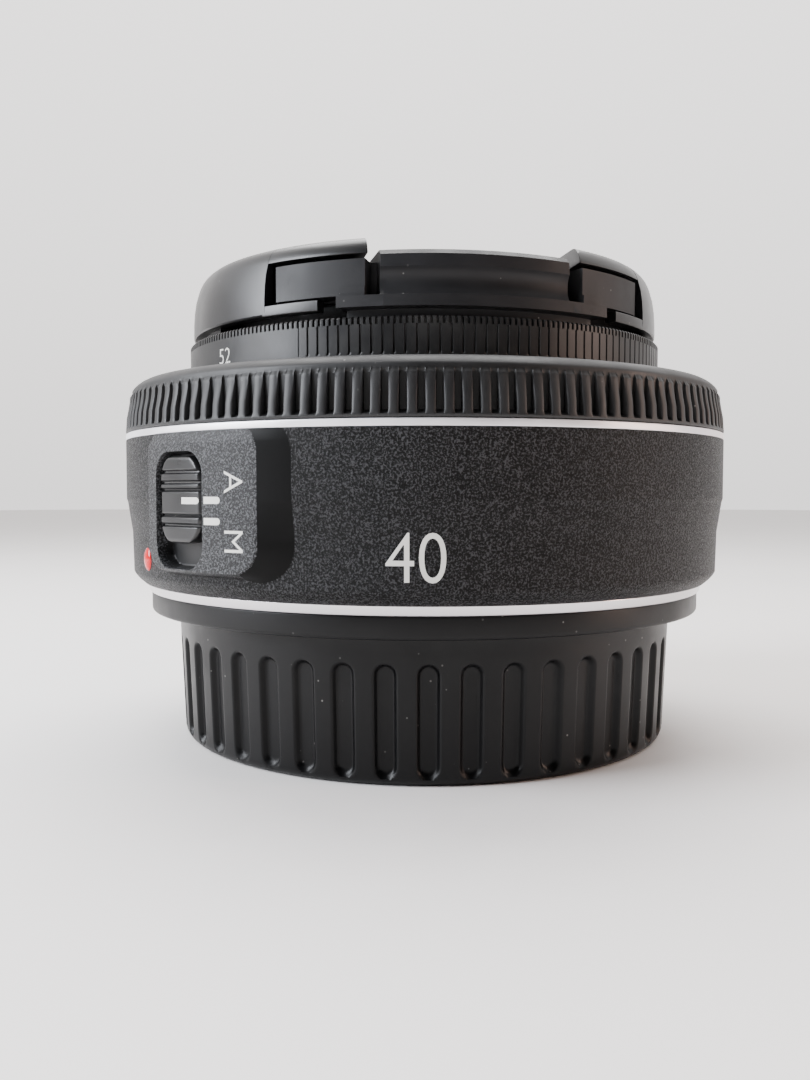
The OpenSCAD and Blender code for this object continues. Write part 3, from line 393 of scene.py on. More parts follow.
@dataclass(frozen=True)
class AnodisedAluminium(Finish):
    """Blasted and black anodised aluminium: a dense fine matt grain with grey on its rubbed edges."""

    grain_mm: float = 0.12

    def detail(self, tree: bpy.types.NodeTree, shader: bpy.types.Node, place: bpy.types.NodeSocket) -> None:
        """Adds the blasted grain and a faint greyish bloom.

        Args:
            tree: Material's node tree.
            shader: Principled shader node.
            place: Object coordinates.
        """
        grain = noise(tree, place, self.grain_mm, 3.0, 0.6)
        link_bump(tree, shader, grain, 0.004)
        bloom = noise(tree, place, 4.0, 4.0, 0.6)
        tone = add_node(tree, "ShaderNodeMapRange", {"Value": bloom, "From Min": 0.4, "From Max": 0.75,
                                                     "To Max": 0.5})
        tree.links.new(mix_colour(tree, tone.outputs["Result"], self.colour, "3a3937"),
                       shader.inputs["Base Color"])
        link_range(tree, bloom, shader.inputs["Roughness"], self.roughness * 0.85, self.roughness * 1.2)


@dataclass(frozen=True)
class CoatedGlass(Finish):
    """Polished optical glass with a thin anti-reflection film that tints what little it reflects."""

    film_nm: float = 420.0

    def detail(self, tree: bpy.types.NodeTree, shader: bpy.types.Node, place: bpy.types.NodeSocket) -> None:
        """Makes the glass clear and gives it its film.

        Args:
            tree: Material's node tree.
            shader: Principled shader node.
            place: Object coordinates.
        """
        shader.inputs["Transmission Weight"].default_value = 1.0
        shader.inputs["Thin Film Thickness"].default_value = self.film_nm
        shader.inputs["Thin Film IOR"].default_value = 1.38
        haze = noise(tree, place, 5.0, 3.0)
        link_range(tree, haze, shader.inputs["Roughness"], 0.0, 0.015)


@dataclass(frozen=True)
class CircuitBoard(Finish):
    """Green solder mask over copper tracks, which show as paler lines."""

    def detail(self, tree: bpy.types.NodeTree, shader: bpy.types.Node, place: bpy.types.NodeSocket) -> None:
        """Adds the tracks as the edges of a coarse cell pattern.

        Args:
            tree: Material's node tree.
            shader: Principled shader node.
            place: Object coordinates.
        """
        cells = add_node(tree, "ShaderNodeTexVoronoi", {"Vector": place, "Scale": 1 / (1.6 * MM)},
                         distance="CHEBYCHEV", feature="F1")
        track = add_node(tree, "ShaderNodeMapRange", {"Value": cells.outputs["Distance"], "From Min": 0.35,
                                                      "From Max": 0.4})
        tree.links.new(mix_colour(tree, track.outputs["Result"], self.colour, "1f6b3c"),
                       shader.inputs["Base Color"])


# The rear cap: black ABS, moulded, its gloss dulled by the grain
REAR_CAP_ABS = MouldedPlastic("rear_cap_abs_moulded", "050506", 0.38, specular=0.22, grain_mm=0.3, dust=0.5,
                              worn="0f0f10")
# The casing: polycarbonate under fine wrinkle paint, black with a painted grey glint on its pimple tops
CASING_WRINKLE = WrinklePaint("casing_wrinkle_paint", "020202", 0.42, specular=0.16)
# The switch pad: the same paint with a soft sheen from its higher specular; its brighter ground is painted
# sheen and its brighter pimple tops are painted glint
PAD_WRINKLE = WrinklePaint("switch_pad_wrinkle_paint", "08080a", 0.4, specular=0.3, tops="4a4b4e",
                           depth_mm=0.03)
# The slope beside the pad: smooth satin black, a darker copy of the casing finish as painted shade where the
# slope faces away from the light
SLOPE_SHADE_ABS = MouldedPlastic("switch_slope_painted_shade", "020202", 0.5, specular=0.12, dust=0.1, worn="060606")
# Plain black mouldings inside
BLACK_ABS = MouldedPlastic("black_abs_moulded", "0b0b0c", 0.45, specular=0.35, worn="1a1a1c")
# The switch knob: smooth black ABS, a little glossier than the pad
KNOB_ABS = MouldedPlastic("knob_abs_moulded", "141415", 0.32, grain_mm=0.5, grain_depth_mm=0.002,
                          worn="222224")
# The focus ring: ribbed polycarbonate, rubbed grey by fingers, with painted shade in the gaps between the
# ribs
FOCUS_RING_PC = RubbedPlasticGapShade("focus_ring_polycarbonate", "1c1c1d", 0.5, specular=0.4, grain_mm=0.18,
                              dust=0.5,
                              worn="383839")
# The front cap: smooth black ABS with a soft sheen
FRONT_CAP_ABS = MouldedPlastic("front_cap_abs_moulded", "141415", 0.34, specular=0.45, grain_mm=0.4,
                               grain_depth_mm=0.003, worn="222224")
# The front cap's fixed body: the same plastic, rubbed matt where the levers slide over it
CAP_BODY_ABS = MouldedPlastic("front_cap_body_abs_moulded", "1a1a1c", 0.5, specular=0.28, grain_mm=0.3,
                              grain_depth_mm=0.004, dust=0.6, worn="29292b")
# Trim ring: aluminium, turned and clear anodised, bright with fine lines
TRIM_ALUMINIUM = TurnedMetal("trim_aluminium_turned", "f7f5f8", 0.42, 0.6)
# Mount: brass, turned and chrome plated
MOUNT_CHROME = TurnedMetal("mount_chrome_turned", "d9d6d8", 0.2, 1.0, line_mm=0.08)
# Filter ring and barrels: black anodised aluminium
FILTER_ANODISED = AnodisedAluminium("filter_aluminium_black_anodised", "1d1d1e", 0.42, 0.3)
BARREL_ANODISED = AnodisedAluminium("barrel_aluminium_black_anodised", "0e0e0f", 0.5, 0.2)
# Index dot: red acrylic, polished like a bead
DOT_ACRYLIC = Finish("index_dot_red_acrylic", "c9000f", 0.16, ior=1.49, coat=0.15, specular=0.35)
# Scale marks: pad-printed white epoxy ink, slightly chalky
WHITE_INK = Finish("scale_white_epoxy_ink", "d9d8d2", 0.55)
# Optical glass and the filter's flat glass
OPTICAL_GLASS = CoatedGlass("optical_glass_coated", "f4f8fa", 0.0, ior=1.6)
FILTER_GLASS = CoatedGlass("filter_glass_coated", "fbfdfd", 0.0, ior=1.52, film_nm=300.0)
# Contacts: gold over nickel
CONTACT_GOLD = Finish("contact_gold_plated", "e0b05c", 0.22, 1.0)
# Screws, motor cans and sheet brackets
STEEL_PLATED = Finish("steel_nickel_plated", "b9b9ba", 0.28, 1.0)
STEEL_BLACK = Finish("steel_black_oxide", "1c1c1e", 0.4, 0.8)
BRASS_CUT = Finish("brass_cut", "c69a4e", 0.3, 1.0)
ACETAL_WHITE = MouldedPlastic("acetal_white_moulded", "d2cfc6", 0.4, dust=0.0, worn="c4c0b4")
BOARD_MASK = CircuitBoard("board_solder_mask", "0c4a28", 0.35)
FILM_POLYIMIDE = Finish("film_polyimide_amber", "a8611c", 0.3)

# CAD nodes that keep their shape, and what they are made of
NODE_FINISHES: dict[str, Finish] = {
    "mount_screws": STEEL_PLATED, "board_screws": STEEL_PLATED, "cell_screws": STEEL_PLATED,
    "cam_ring_clip": STEEL_PLATED, "cap_springs": STEEL_PLATED, "baffle_screws": STEEL_BLACK,
    "contact_block": BLACK_ABS, "contact_pins": CONTACT_GOLD, "rear_baffle": BLACK_ABS,
    "switch_slider": ACETAL_WHITE, "main_board": BOARD_MASK, "board_chips": BLACK_ABS,
    "flex_cable": FILM_POLYIMIDE, "guide_tube": BLACK_ABS, "cam_ring": BARREL_ANODISED,
    "focus_motor": STEEL_PLATED, "motor_pinion": BRASS_CUT, "idler_gear": ACETAL_WHITE,
    "gear_bracket": STEEL_PLATED, "ring_bed": BLACK_ABS, "ring_sensor": BLACK_ABS,
    "cam_followers": ACETAL_WHITE, "front_cell": BARREL_ANODISED, "front_retainer": BARREL_ANODISED,
    "lens_spacer": BARREL_ANODISED, "second_element": OPTICAL_GLASS, "third_element": OPTICAL_GLASS,
    "iris_base": BLACK_ABS, "iris_drive_ring": ACETAL_WHITE, "iris_cover": BLACK_ABS,
    "iris_motor": STEEL_PLATED, "iris_pinion": BRASS_CUT, "rear_cell": BARREL_ANODISED,
    "fourth_element": OPTICAL_GLASS, "fifth_element": OPTICAL_GLASS,
    **{f"iris_blade_{number}": STEEL_BLACK for number in range(1, 8)},
}


# ---- Mesh tools ----


def rounded(corners: Sequence[Corner], closed: bool = True, steps: int = 4) -> list[Point]:
    """Rounds the corners of an outline.

    Args:
        corners: (radius, height, fillet) for each corner. A fillet of 0 stays sharp.
        closed: Whether the last corner joins the first.
        steps: Segments in each fillet.

    Returns:
        The outline's points.
    """
    out: list[Point] = []
    count = len(corners)
    for i, (r, z, fillet) in enumerate(corners):
        if fillet <= 0 or (not closed and i in (0, count - 1)):
            out.append((r, z))
            continue
        here = Vector((r, z))
        back = Vector(corners[i - 1][:2]) - here
        ahead = Vector(corners[(i + 1) % count][:2]) - here
        turn = back.angle(ahead)
        reach = min(fillet / math.tan(turn / 2), back.length * 0.49, ahead.length * 0.49)
        start = here + back.normalized() * reach
        end = here + ahead.normalized() * reach
        for k in range(steps + 1):
            t = k / steps
            p = start * (1 - t) ** 2 + here * 2 * t * (1 - t) + end * t ** 2
            out.append((p.x, p.y))
    return out


def place_round(radius: float, angle: float, height: float) -> Vector:
    """Gives the point at a radius, an angle round the axis and a height, all in mm and degrees, in metres."""
    turn = math.radians(angle)
    return Vector((radius * math.sin(turn), -radius * math.cos(turn), height)) * MM


def mesh_object(name: str, vertices: np.ndarray, faces: list) -> bpy.types.Object:
    """Makes a linked object from vertices in metres and faces.

    Args:
        name: Name of the object and its mesh.
        vertices: Points in metres.
        faces: Vertex numbers of each face.

    Returns:
        The new object.
    """
    mesh = bpy.data.meshes.new(name)
    mesh.from_pydata([tuple(v) for v in vertices], [], faces)
    mesh.validate()
    piece = bpy.data.objects.new(name, mesh)
    bpy.context.scene.collection.objects.link(piece)
    return piece


def sweep(name: str, outline: Sequence[Point], angles: Sequence[float] | int = 192,
          relief: Relief | None = None,
          caps: bool = False) -> bpy.types.Object:
    """Turns an outline round the axis into a mesh.

    Args:
        name: The object's name.
        outline: Closed outline as (radius, height) points. Two neighbouring points on the axis close a solid.
        angles: A count for a full turn, or the angles of an open sweep in degrees.
        relief: Gives what is added to the radius, from angle, radius and height.
        caps: Whether the ends of an open sweep are closed.

    Returns:
        The linked object.
    """
    full = isinstance(angles, int)
    turn = np.arange(angles) * 360.0 / angles if full else np.array(angles, float)
    if not full and len(turn) > 3 and abs(turn[-1] - turn[0] - 360) < 1e-6:
        full, turn = True, turn[:-1]
    ring = np.array(outline, float)
    theta = np.repeat(turn[:, None], len(ring), axis=1)
    radius = np.repeat(ring[None, :, 0], len(turn), axis=0)
    height = np.repeat(ring[None, :, 1], len(turn), axis=0)
    if relief is not None:
        radius = radius + relief(theta, radius, height)
    rad = np.radians(theta)
    points = np.stack([radius * np.sin(rad), -radius * np.cos(rad), height], axis=2).reshape(-1, 3) * MM
    n, m = len(turn), len(ring)
    faces = []
    for i in range(n if full else n - 1):
        j = (i + 1) % n
        for k in range(m):
            q = (k + 1) % m
            if ring[k, 0] < 1e-9 and ring[q, 0] < 1e-9:
                continue
            faces.append((i * m + k, j * m + k, j * m + q, i * m + q))
    if caps:
        faces.append(tuple(range(m)))
        faces.append(tuple(range((n - 1) * m + m - 1, (n - 1) * m - 1, -1)))
    piece = mesh_object(name, points, faces)
    weld(piece, recalculate=full or caps)
    return piece


def weld(piece: bpy.types.Object, distance_mm: float = 0.0005, recalculate: bool = True) -> None:
    """Merges doubled vertices and, on a closed mesh, turns its faces outwards.

    Args:
        piece: Piece to change.
        distance_mm: Vertices closer than this are merged.
        recalculate: Whether the faces are turned outwards.
    """
    work = bmesh.new()
    work.from_mesh(piece.data)
    bmesh.ops.remove_doubles(work, verts=work.verts, dist=distance_mm * MM)
    bmesh.ops.dissolve_degenerate(work, edges=work.edges, dist=0.0001 * MM)
    if recalculate:
        bmesh.ops.recalc_face_normals(work, faces=work.faces)
    work.to_mesh(piece.data)
    work.free()


def smooth(piece: bpy.types.Object, angle: float = 35.0) -> bpy.types.Object:
    """Shades a piece smooth, keeping edges sharper than the angle.

    Args:
        piece: Piece to shade.
        angle: Angle in degrees above which an edge stays sharp.

    Returns:
        The same piece.
    """
    piece.data.shade_smooth()
    piece.data.set_sharp_from_angle(angle=math.radians(angle))
    return piece


def baked(piece: bpy.types.Object) -> bpy.types.Object:
    """Turns a piece with modifiers into a plain mesh and drops the modifiers.

    Args:
        piece: Piece to bake.

    Returns:
        The same piece with its new mesh.
    """
    graph = bpy.context.evaluated_depsgraph_get()
    mesh = bpy.data.meshes.new_from_object(piece.evaluated_get(graph))
    piece.modifiers.clear()
    old = piece.data
    piece.data = mesh
    bpy.data.meshes.remove(old)
    mesh.name = piece.name
    return piece


def cut(piece: bpy.types.Object, tool: bpy.types.Object, operation: str = "DIFFERENCE") -> bpy.types.Object:
    """Cuts, joins or intersects a piece with a tool, which is used up.

    Args:
        piece: Piece to change.
        tool: Piece to cut with.
        operation: Name of the Boolean operation.

    Returns:
        The same piece with its new mesh.
    """
    change = piece.modifiers.new("cut", "BOOLEAN")
    change.operation = operation
    change.solver = "EXACT"
    change.object = tool
    baked(piece)
    bpy.data.objects.remove(tool)
    return piece


def bevelled(piece: bpy.types.Object, width_mm: float, segments: int = 2,
             angle: float = 35.0) -> bpy.types.Object:
    """Rounds a piece's sharp edges by a small width.

    Args:
        piece: Piece to change.
        width_mm: Width of the rounding in mm.
        segments: Steps across the rounding.
        angle: Angle in degrees above which an edge is rounded.

    Returns:
        The rounded piece.
    """
    work = bmesh.new()
    work.from_mesh(piece.data)
    bmesh.ops.remove_doubles(work, verts=work.verts, dist=0.01 * MM)
    bmesh.ops.dissolve_degenerate(work, edges=work.edges, dist=0.005 * MM)
    work.to_mesh(piece.data)
    work.free()
    edge = piece.modifiers.new("edge", "BEVEL")
    edge.width = width_mm * MM
    edge.segments = segments
    edge.limit_method = "ANGLE"
    edge.angle_limit = math.radians(angle)
    edge.use_clamp_overlap = True
    return smooth(baked(piece))


def box_tool(low: Sequence[float], high: Sequence[float]) -> bpy.types.Object:
    """Makes a box between two corners in mm, to cut with.

    Args:
        low: Lowest corner in mm.
        high: Highest corner in mm.

    Returns:
        The box.
    """
    work = bmesh.new()
    bmesh.ops.create_cube(work, size=1.0)
    size = [(h - l) * MM for l, h in zip(low, high)]
    middle = [(h + l) / 2 * MM for l, h in zip(low, high)]
    work.transform(Matrix.Translation(middle) @ Matrix.Diagonal((*size, 1.0)))
    mesh = bpy.data.meshes.new("tool")
    work.to_mesh(mesh)
    work.free()
    tool = bpy.data.objects.new("tool", mesh)
    bpy.context.scene.collection.objects.link(tool)
    return tool


def joined(name: str, pieces: Sequence[bpy.types.Object]) -> bpy.types.Object:
    """Joins pieces into one object and uses them up.

    Args:
        name: Name of the joined object.
        pieces: Pieces to join.

    Returns:
        The joined object.
    """
    work = bmesh.new()
    for piece in pieces:
        work.from_mesh(piece.data)
    mesh = bpy.data.meshes.new(name)
    work.to_mesh(mesh)
    work.free()
    for piece in pieces:
        bpy.data.objects.remove(piece)
    whole = bpy.data.objects.new(name, mesh)
    bpy.context.scene.collection.objects.link(whole)
    return whole


def turned(piece: bpy.types.Object, angle: float) -> bpy.types.Object:
    """Turns a piece's mesh round the optical axis."""
    piece.data.transform(Matrix.Rotation(math.radians(angle), 4, "Z"))
    return piece


def round_pattern_tree() -> bpy.types.NodeTree:
    """Builds the node tree that repeats a mesh round the optical axis.

    Returns:
        A geometry node tree with the inputs Count, Step, Start, Weld and Material.
    """
    known = bpy.data.node_groups.get("round_pattern")
    if known:
        return known
    tree = bpy.data.node_groups.new("round_pattern", "GeometryNodeTree")
    face = tree.interface
    face.new_socket("Geometry", in_out="INPUT", socket_type="NodeSocketGeometry")
    for name, kind in (("Count", "NodeSocketInt"), ("Step", "NodeSocketFloat"), ("Start", "NodeSocketFloat"),
                       ("Weld", "NodeSocketFloat"), ("Material", "NodeSocketMaterial")):
        face.new_socket(name, in_out="INPUT", socket_type=kind)
    face.new_socket("Geometry", in_out="OUTPUT", socket_type="NodeSocketGeometry")
    given = add_node(tree, "NodeGroupInput").outputs
    spots = add_node(tree, "GeometryNodePoints", {"Count": given["Count"]})
    number = add_node(tree, "GeometryNodeInputIndex")
    turn = add_node(tree, "ShaderNodeMath", {0: number.outputs[0], 1: given["Step"], 2: given["Start"]},
                    operation="MULTIPLY_ADD")
    spin = add_node(tree, "ShaderNodeCombineXYZ", {2: turn.outputs[0]})
    copies = add_node(tree, "GeometryNodeInstanceOnPoints", {
        "Points": spots.outputs[0], "Instance": given["Geometry"], "Rotation": spin.outputs[0]})
    real = add_node(tree, "GeometryNodeRealizeInstances", {0: copies.outputs[0]})
    merged = add_node(tree, "GeometryNodeMergeByDistance",
                      {"Geometry": real.outputs[0], "Distance": given["Weld"]})
    painted = add_node(tree, "GeometryNodeSetMaterial", {"Geometry": merged.outputs[0],
                                                         "Material": given["Material"]})
    add_node(tree, "NodeGroupOutput", {0: painted.outputs[0]})
    return tree


def repeated_round(piece: bpy.types.Object, count: int, step: float, finish: Finish, start: float = 0.0,
                   weld_mm: float = 0.002) -> bpy.types.Object:
    """Repeats a piece's mesh round the optical axis and bakes the result.

    Args:
        piece: The mesh to repeat, at its first place.
        count: How many copies.
        step: Degrees between copies.
        finish: What the copies are made of.
        start: Degrees to the first copy.
        weld_mm: Distance under which neighbouring vertices merge.

    Returns:
        The same object, now one plain mesh.
    """
    maker = piece.modifiers.new("pattern", "NODES")
    maker.node_group = round_pattern_tree()
    values = {"Count": count, "Step": math.radians(step), "Start": math.radians(start), "Weld": weld_mm * MM,
              "Material": finish.material()}
    for item in maker.node_group.interface.items_tree:
        if item.item_type == "SOCKET" and item.in_out == "INPUT" and item.name in values:
            maker[item.identifier] = values[item.name]
    piece.update_tag()
    bpy.context.view_layer.update()
    return baked(piece)


def put(piece: bpy.types.Object, body: Body, finish: Finish, slot: str, *nodes: str) -> None:
    """Dresses a piece, seats it on its body and hides the CAD nodes that it stands for.

    Args:
        piece: Piece to place.
        body: Body that it rides on.
        finish: Finish that it wears.
        slot: Name of its material slot.
        nodes: CAD nodes that it stands for.
    """
    piece.data.materials.clear()
    piece.data.materials.append(finish.material())
    settle(piece, body, slot, *nodes)


def settle(piece: bpy.types.Object, body: Body, slot: str, *nodes: str) -> None:
    """Seats an already dressed piece on its body and hides the CAD nodes that it stands for.

    Args:
        piece: Piece to place.
        body: Body that it rides on.
        slot: Not used.
        nodes: CAD nodes that it stands for.
    """
    if nodes:
        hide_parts(*nodes)
    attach(piece, body.value)
    LOG.info("%s: %d faces, on %s", piece.name, len(piece.data.polygons), body.value)


def node_span(node: str) -> tuple[float, float, float]:
    """Gives a CAD node's lowest height, highest height and largest radius along X, in mm."""
    low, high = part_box(node)
    return low.z / MM, high.z / MM, max(-low.x, high.x) / MM


def step_smooth(value: np.ndarray) -> np.ndarray:
    """Gives a smooth step from 0 to 1 as the value goes from 0 to 1."""
    t = np.clip(value, 0.0, 1.0)
    return t * t * (3 - 2 * t)


# ---- The rear cap ----


@dataclass
class RearCap:
    """The rear cap: a cup with grip grooves round its skirt and a smooth rim under the mount.

    Attributes:
        grooves: Grip grooves round the skirt.
        groove_width: Width of a groove.
        groove_depth: Depth of a groove.
        groove_top: Height of the grooves' round tops.
        skirt_foot: Skirt radius at the bottom.
        skirt_top: Skirt radius under the rim.
        rim_z: Underside of the rim.
    """

    grooves: int = 44
    groove_width: float = 2.0
    groove_depth: float = 0.6
    groove_top: float = 11.45
    skirt_foot: float = 27.9
    skirt_top: float = 28.5
    rim_z: float = 14.2
    inner_r: float = 26.0
    floor: float = 1.6
    lug_r: float = 27.35
    lug_z: float = 11.6

    def relief(self, theta: np.ndarray, radius: np.ndarray, height: np.ndarray) -> np.ndarray:
        """Sinks the grooves into the skirt: flat floors, soft sides and half-round tops.

        Args:
            theta: Angle round the axis in degrees.
            radius: Radius of the plain surface in mm.
            height: Height z in mm.

        Returns:
            The change of radius in mm.
        """
        pitch = 360.0 / self.grooves
        off = (theta + pitch / 2) % pitch - pitch / 2
        across = np.radians(off) * radius
        half = self.groove_width / 2
        over = np.maximum(height - (self.groove_top - half), 0.0)
        under = np.maximum(1.9 - height, 0.0) * 0.9
        reach = np.sqrt(across ** 2 + over ** 2 + under ** 2)
        sunk = 1.0 - step_smooth((reach - (half - 0.28)) / 0.46)
        outer = (radius > self.skirt_foot - 1.2) & (height < 12.5)
        return np.where(outer, -self.groove_depth * sunk, 0.0)

    def build(self) -> None:
        """Builds one groove's sector and repeats it round the axis."""
        _, top, rim_r = node_span("rear_cap")
        slope = (self.skirt_top - self.skirt_foot) / self.rim_z
        rows = [0.95, 1.3, 1.6, 1.9, 2.4, 3.5, 5.5, 7.5, 9.0, 9.9, 10.25, 10.5, 10.7, 10.9, 11.05, 11.2,
                11.32, 11.44,
                11.56, 11.68, 11.8, 12.0, 12.3]
        foot = [(self.skirt_foot - 0.95 + 0.95 * math.sin(t), 0.95 - 0.95 * math.cos(t))
                for t in np.linspace(0.0, math.pi / 2, 7)[:-1]]
        skirt = [(self.skirt_foot + slope * z, z) for z in rows]
        shelf = rounded([(self.skirt_top - 0.08, 12.6, 0), (self.skirt_top, self.rim_z, 0.5),
                         (rim_r, self.rim_z, 0.45), (rim_r, top, 0.18), (self.lug_r, top, 0.15),
                         (self.lug_r, self.lug_z, 0), (self.inner_r, self.lug_z, 0.15),
                         (self.inner_r, self.floor, 0.4), (0.0, self.floor, 0)], closed=False, steps=5)
        outline = [(0.0, 0.0)] + foot + skirt + shelf
        pitch = 360.0 / self.grooves
        half = math.degrees(self.groove_width / 2 / self.skirt_foot)
        near = np.linspace(0, half + 0.6, 10)
        angles = sorted({round(float(a), 5)
                         for a in np.concatenate([near, -near, [pitch / 2, -pitch / 2, 3.3, -3.3]])})
        sector = sweep("rear_cap_shell", outline, angles, self.relief)
        repeated_round(sector, self.grooves, pitch, REAR_CAP_ABS)
        weld(sector)
        smooth(sector, 50)
        settle(sector, Body.REAR_CAP, "rear_cap_plastic", "rear_cap")


# ---- The mount and the casing ----


@dataclass
class MountRing:
    """The chromed bayonet mount: flange, sleeve and three lugs."""

    sleeve_out: float = 25.4
    sleeve_in: float = 23.9
    sleeve_z: float = 10.9
    lug_out: float = 27.0
    lug_low: float = 12.4
    lug_high: float = 13.9
    lug_middle: float = 2.0
    lug_half: float = 26.0
    flange_z: float = 16.4

    def build(self) -> None:
        """Turns the flange and sleeve, and repeats the lug three times."""
        _, top, edge = node_span("mount_bayonet")
        outline = rounded([(self.sleeve_in, self.sleeve_z, 0.15), (self.sleeve_out, self.sleeve_z, 0.3),
                           (self.sleeve_out, self.flange_z, 0.1), (edge - 0.3, self.flange_z, 0.22),
                           (edge, top, 0.12), (self.sleeve_in, top, 0)])
        ring = smooth(sweep("mount_ring", outline, 288), 40)
        put(ring, Body.LENS, MOUNT_CHROME, "mount_steel", "mount_bayonet")
        lug = rounded([(self.sleeve_out - 0.3, self.lug_low, 0), (self.lug_out, self.lug_low, 0.25),
                       (self.lug_out, self.lug_high, 0.2), (self.sleeve_out - 0.3, self.lug_high, 0)])
        angles = np.linspace(-self.lug_half, self.lug_half, 27)
        lugs = sweep("mount_lugs", lug, angles, caps=True)
        repeated_round(lugs, 3, 120.0, MOUNT_CHROME, start=self.lug_middle)
        settle(smooth(lugs, 40), Body.LENS, "mount_steel")


@dataclass
class Casing:
    """The casing: a flared wrinkle-painted shell whose left front carries the switch pad and its pocket.

    Attributes:
        pad_left: Angle of the pad's left edge.
        pad_crest: Angle of the pad's right crest.
        pad_foot: Angle where the slope right of the crest meets the shell.
        pad_r: Radius of the pad.
        pocket_angle: Angle of the switch pocket's middle.
    """

    pad_left: float = -52.0
    pad_crest: float = -26.5
    pad_foot: float = -20.6
    pad_r: float = 34.55
    pad_low: float = 19.9
    pad_high: float = 33.4
    pad_corner: float = 2.6
    pocket_angle: float = -43.0
    pocket_width: float = 7.2
    pocket_low: float = 20.2
    pocket_high: float = 31.0
    pocket_r: float = 33.0
    pocket_corner: float = 2.2
    inner_r: float = 32.0
    floor_z: float = 18.6

    def shell_radius(self, z: np.ndarray) -> np.ndarray:
        """Gives the shell's outer radius at a height."""
        return np.interp(z, [17.4, 18.0, 18.6, 23.0, 26.2, 26.6, 32.9],
                         [32.25, 32.95, 33.4, 33.5, 33.98, 34.1, 34.1])

    def pad_share(self, theta: np.ndarray, z: np.ndarray, bevel: bool = True) -> np.ndarray:
        """Gives how much of the pad's height stands at a place.

        Args:
            theta: Angle in degrees.
            z: Height in mm.
            bevel: Whether the bevel under the trim ring counts.

        Returns:
            A share from 0 on the shell to 1 on the pad.
        """
        half_x = math.radians(self.pad_crest - self.pad_left) / 2 * self.pad_r
        x = np.radians(theta - (self.pad_crest + self.pad_left) / 2) * self.pad_r
        y = z - (self.pad_low + self.pad_high) / 2
        half_y = (self.pad_high - self.pad_low) / 2
        over_x = np.maximum(np.abs(x) - (half_x - self.pad_corner), 0)
        over_y = np.maximum(np.abs(y) - (half_y - self.pad_corner), 0)
        out = np.hypot(over_x, over_y) - self.pad_corner
        slope = math.radians(self.pad_foot - self.pad_crest) * self.pad_r
        sideways = np.where(x > 0, over_x / np.maximum(np.hypot(over_x, over_y), 1e-6), 0.0) ** 2
        width = 0.45 + (slope - 0.45) * sideways
        share = 1.0 - np.clip(out / width, 0.0, 1.0)
        if bevel:
            share = share * (1.0 - 0.75 * np.clip((z - 31.9) / 0.9, 0.0, 1.0))
        return share

    def pocket_share(self, theta: np.ndarray, z: np.ndarray) -> np.ndarray:
        """Gives how deep the switch pocket is at an angle and a height, from 0 to 1.

        Args:
            theta: Angle round the axis in degrees.
            z: Height in mm.

        Returns:
            The depth as a share from 0 to 1.
        """
        x = np.radians(theta - self.pocket_angle) * self.pad_r
        y = z - (self.pocket_low + self.pocket_high) / 2
        half_x = self.pocket_width / 2 - self.pocket_corner
        half_y = (self.pocket_high - self.pocket_low) / 2 - self.pocket_corner
        out = np.hypot(np.maximum(np.abs(x) - half_x, 0),
                       np.maximum(np.abs(y) - half_y, 0)) - self.pocket_corner
        return 1.0 - step_smooth((out + 0.12) / 0.24)

    def angles(self) -> np.ndarray:
        """Gives the shell's columns: fine round the pad, coarse elsewhere.

        Returns:
            Angles in degrees, in rising order.
        """
        fine = np.arange(-54.0, -19.0, 0.17)
        rest = np.arange(-18.5, 360.0 - 54.4, 1.0)
        return np.concatenate([fine, rest])

    def heights(self) -> np.ndarray:
        """Gives the shell's rows: fine round the pad's lower edge and the pocket's ends.

        Returns:
            Heights in mm, in rising order.
        """
        parts = [np.linspace(17.4, 19.2, 8), np.arange(19.3, 23.0, 0.11), np.arange(23.1, 26.2, 0.45),
                 np.arange(26.2, 27.0, 0.13), np.arange(27.2, 28.6, 0.4), np.arange(28.7, 32.7, 0.11),
                 [32.75, 32.9]]
        return np.unique(np.round(np.concatenate(parts), 4))

    def relief(self, theta: np.ndarray, radius: np.ndarray, height: np.ndarray) -> np.ndarray:
        """Raises the pad and sinks the pocket.

        Args:
            theta: Angle round the axis in degrees.
            radius: Radius of the plain surface in mm.
            height: Height z in mm.

        Returns:
            The change of radius in mm.
        """
        outer = radius > self.inner_r + 0.05
        share = self.pad_share((theta + 180.0) % 360.0 - 180.0, height)
        turned_in = (theta + 180.0) % 360.0 - 180.0
        raised = radius + share * (self.pad_r - radius)
        sunk = self.pocket_share(turned_in, height)
        final = raised + sunk * (self.pocket_r - raised)
        return np.where(outer, final - radius, 0.0)

    def build(self) -> None:
        """Builds the shell with its pad, and the floor ring inside it."""
        rows = self.heights()
        outer = list(zip(self.shell_radius(rows), rows))
        inner = [(self.inner_r, 32.9), (self.inner_r, self.floor_z), (24.0, self.floor_z), (24.0, 17.4)]
        columns = self.angles()
        shell = sweep("casing_shell", outer + inner, np.append(columns, columns[0] + 360.0), self.relief)
        smooth(shell, 42)
        shell.data.materials.append(CASING_WRINKLE.material())
        shell.data.materials.append(BLACK_ABS.material())
        shell.data.materials.append(PAD_WRINKLE.material())
        shell.data.materials.append(SLOPE_SHADE_ABS.material())
        self.paint_pocket(shell)
        settle(shell, Body.LENS, "casing_plastic", "rear_casing")

    def paint_pocket(self, shell: bpy.types.Object) -> None:
        """Leaves the pad, the pocket and the inside in bare plastic, and gives the slope right of the pad's
        crest a darker material as painted shade.

        Args:
            shell: Casing shell to paint.
        """
        for polygon in shell.data.polygons:
            x, y, z = polygon.center / MM
            radius, angle = math.hypot(x, y), math.degrees(math.atan2(x, -y))
            deep = self.pocket_share(np.array(angle), np.array(z)) > 0.5 and radius < self.pad_r + 0.1
            raised = float(self.pad_share(np.array(angle), np.array(z), bevel=False))
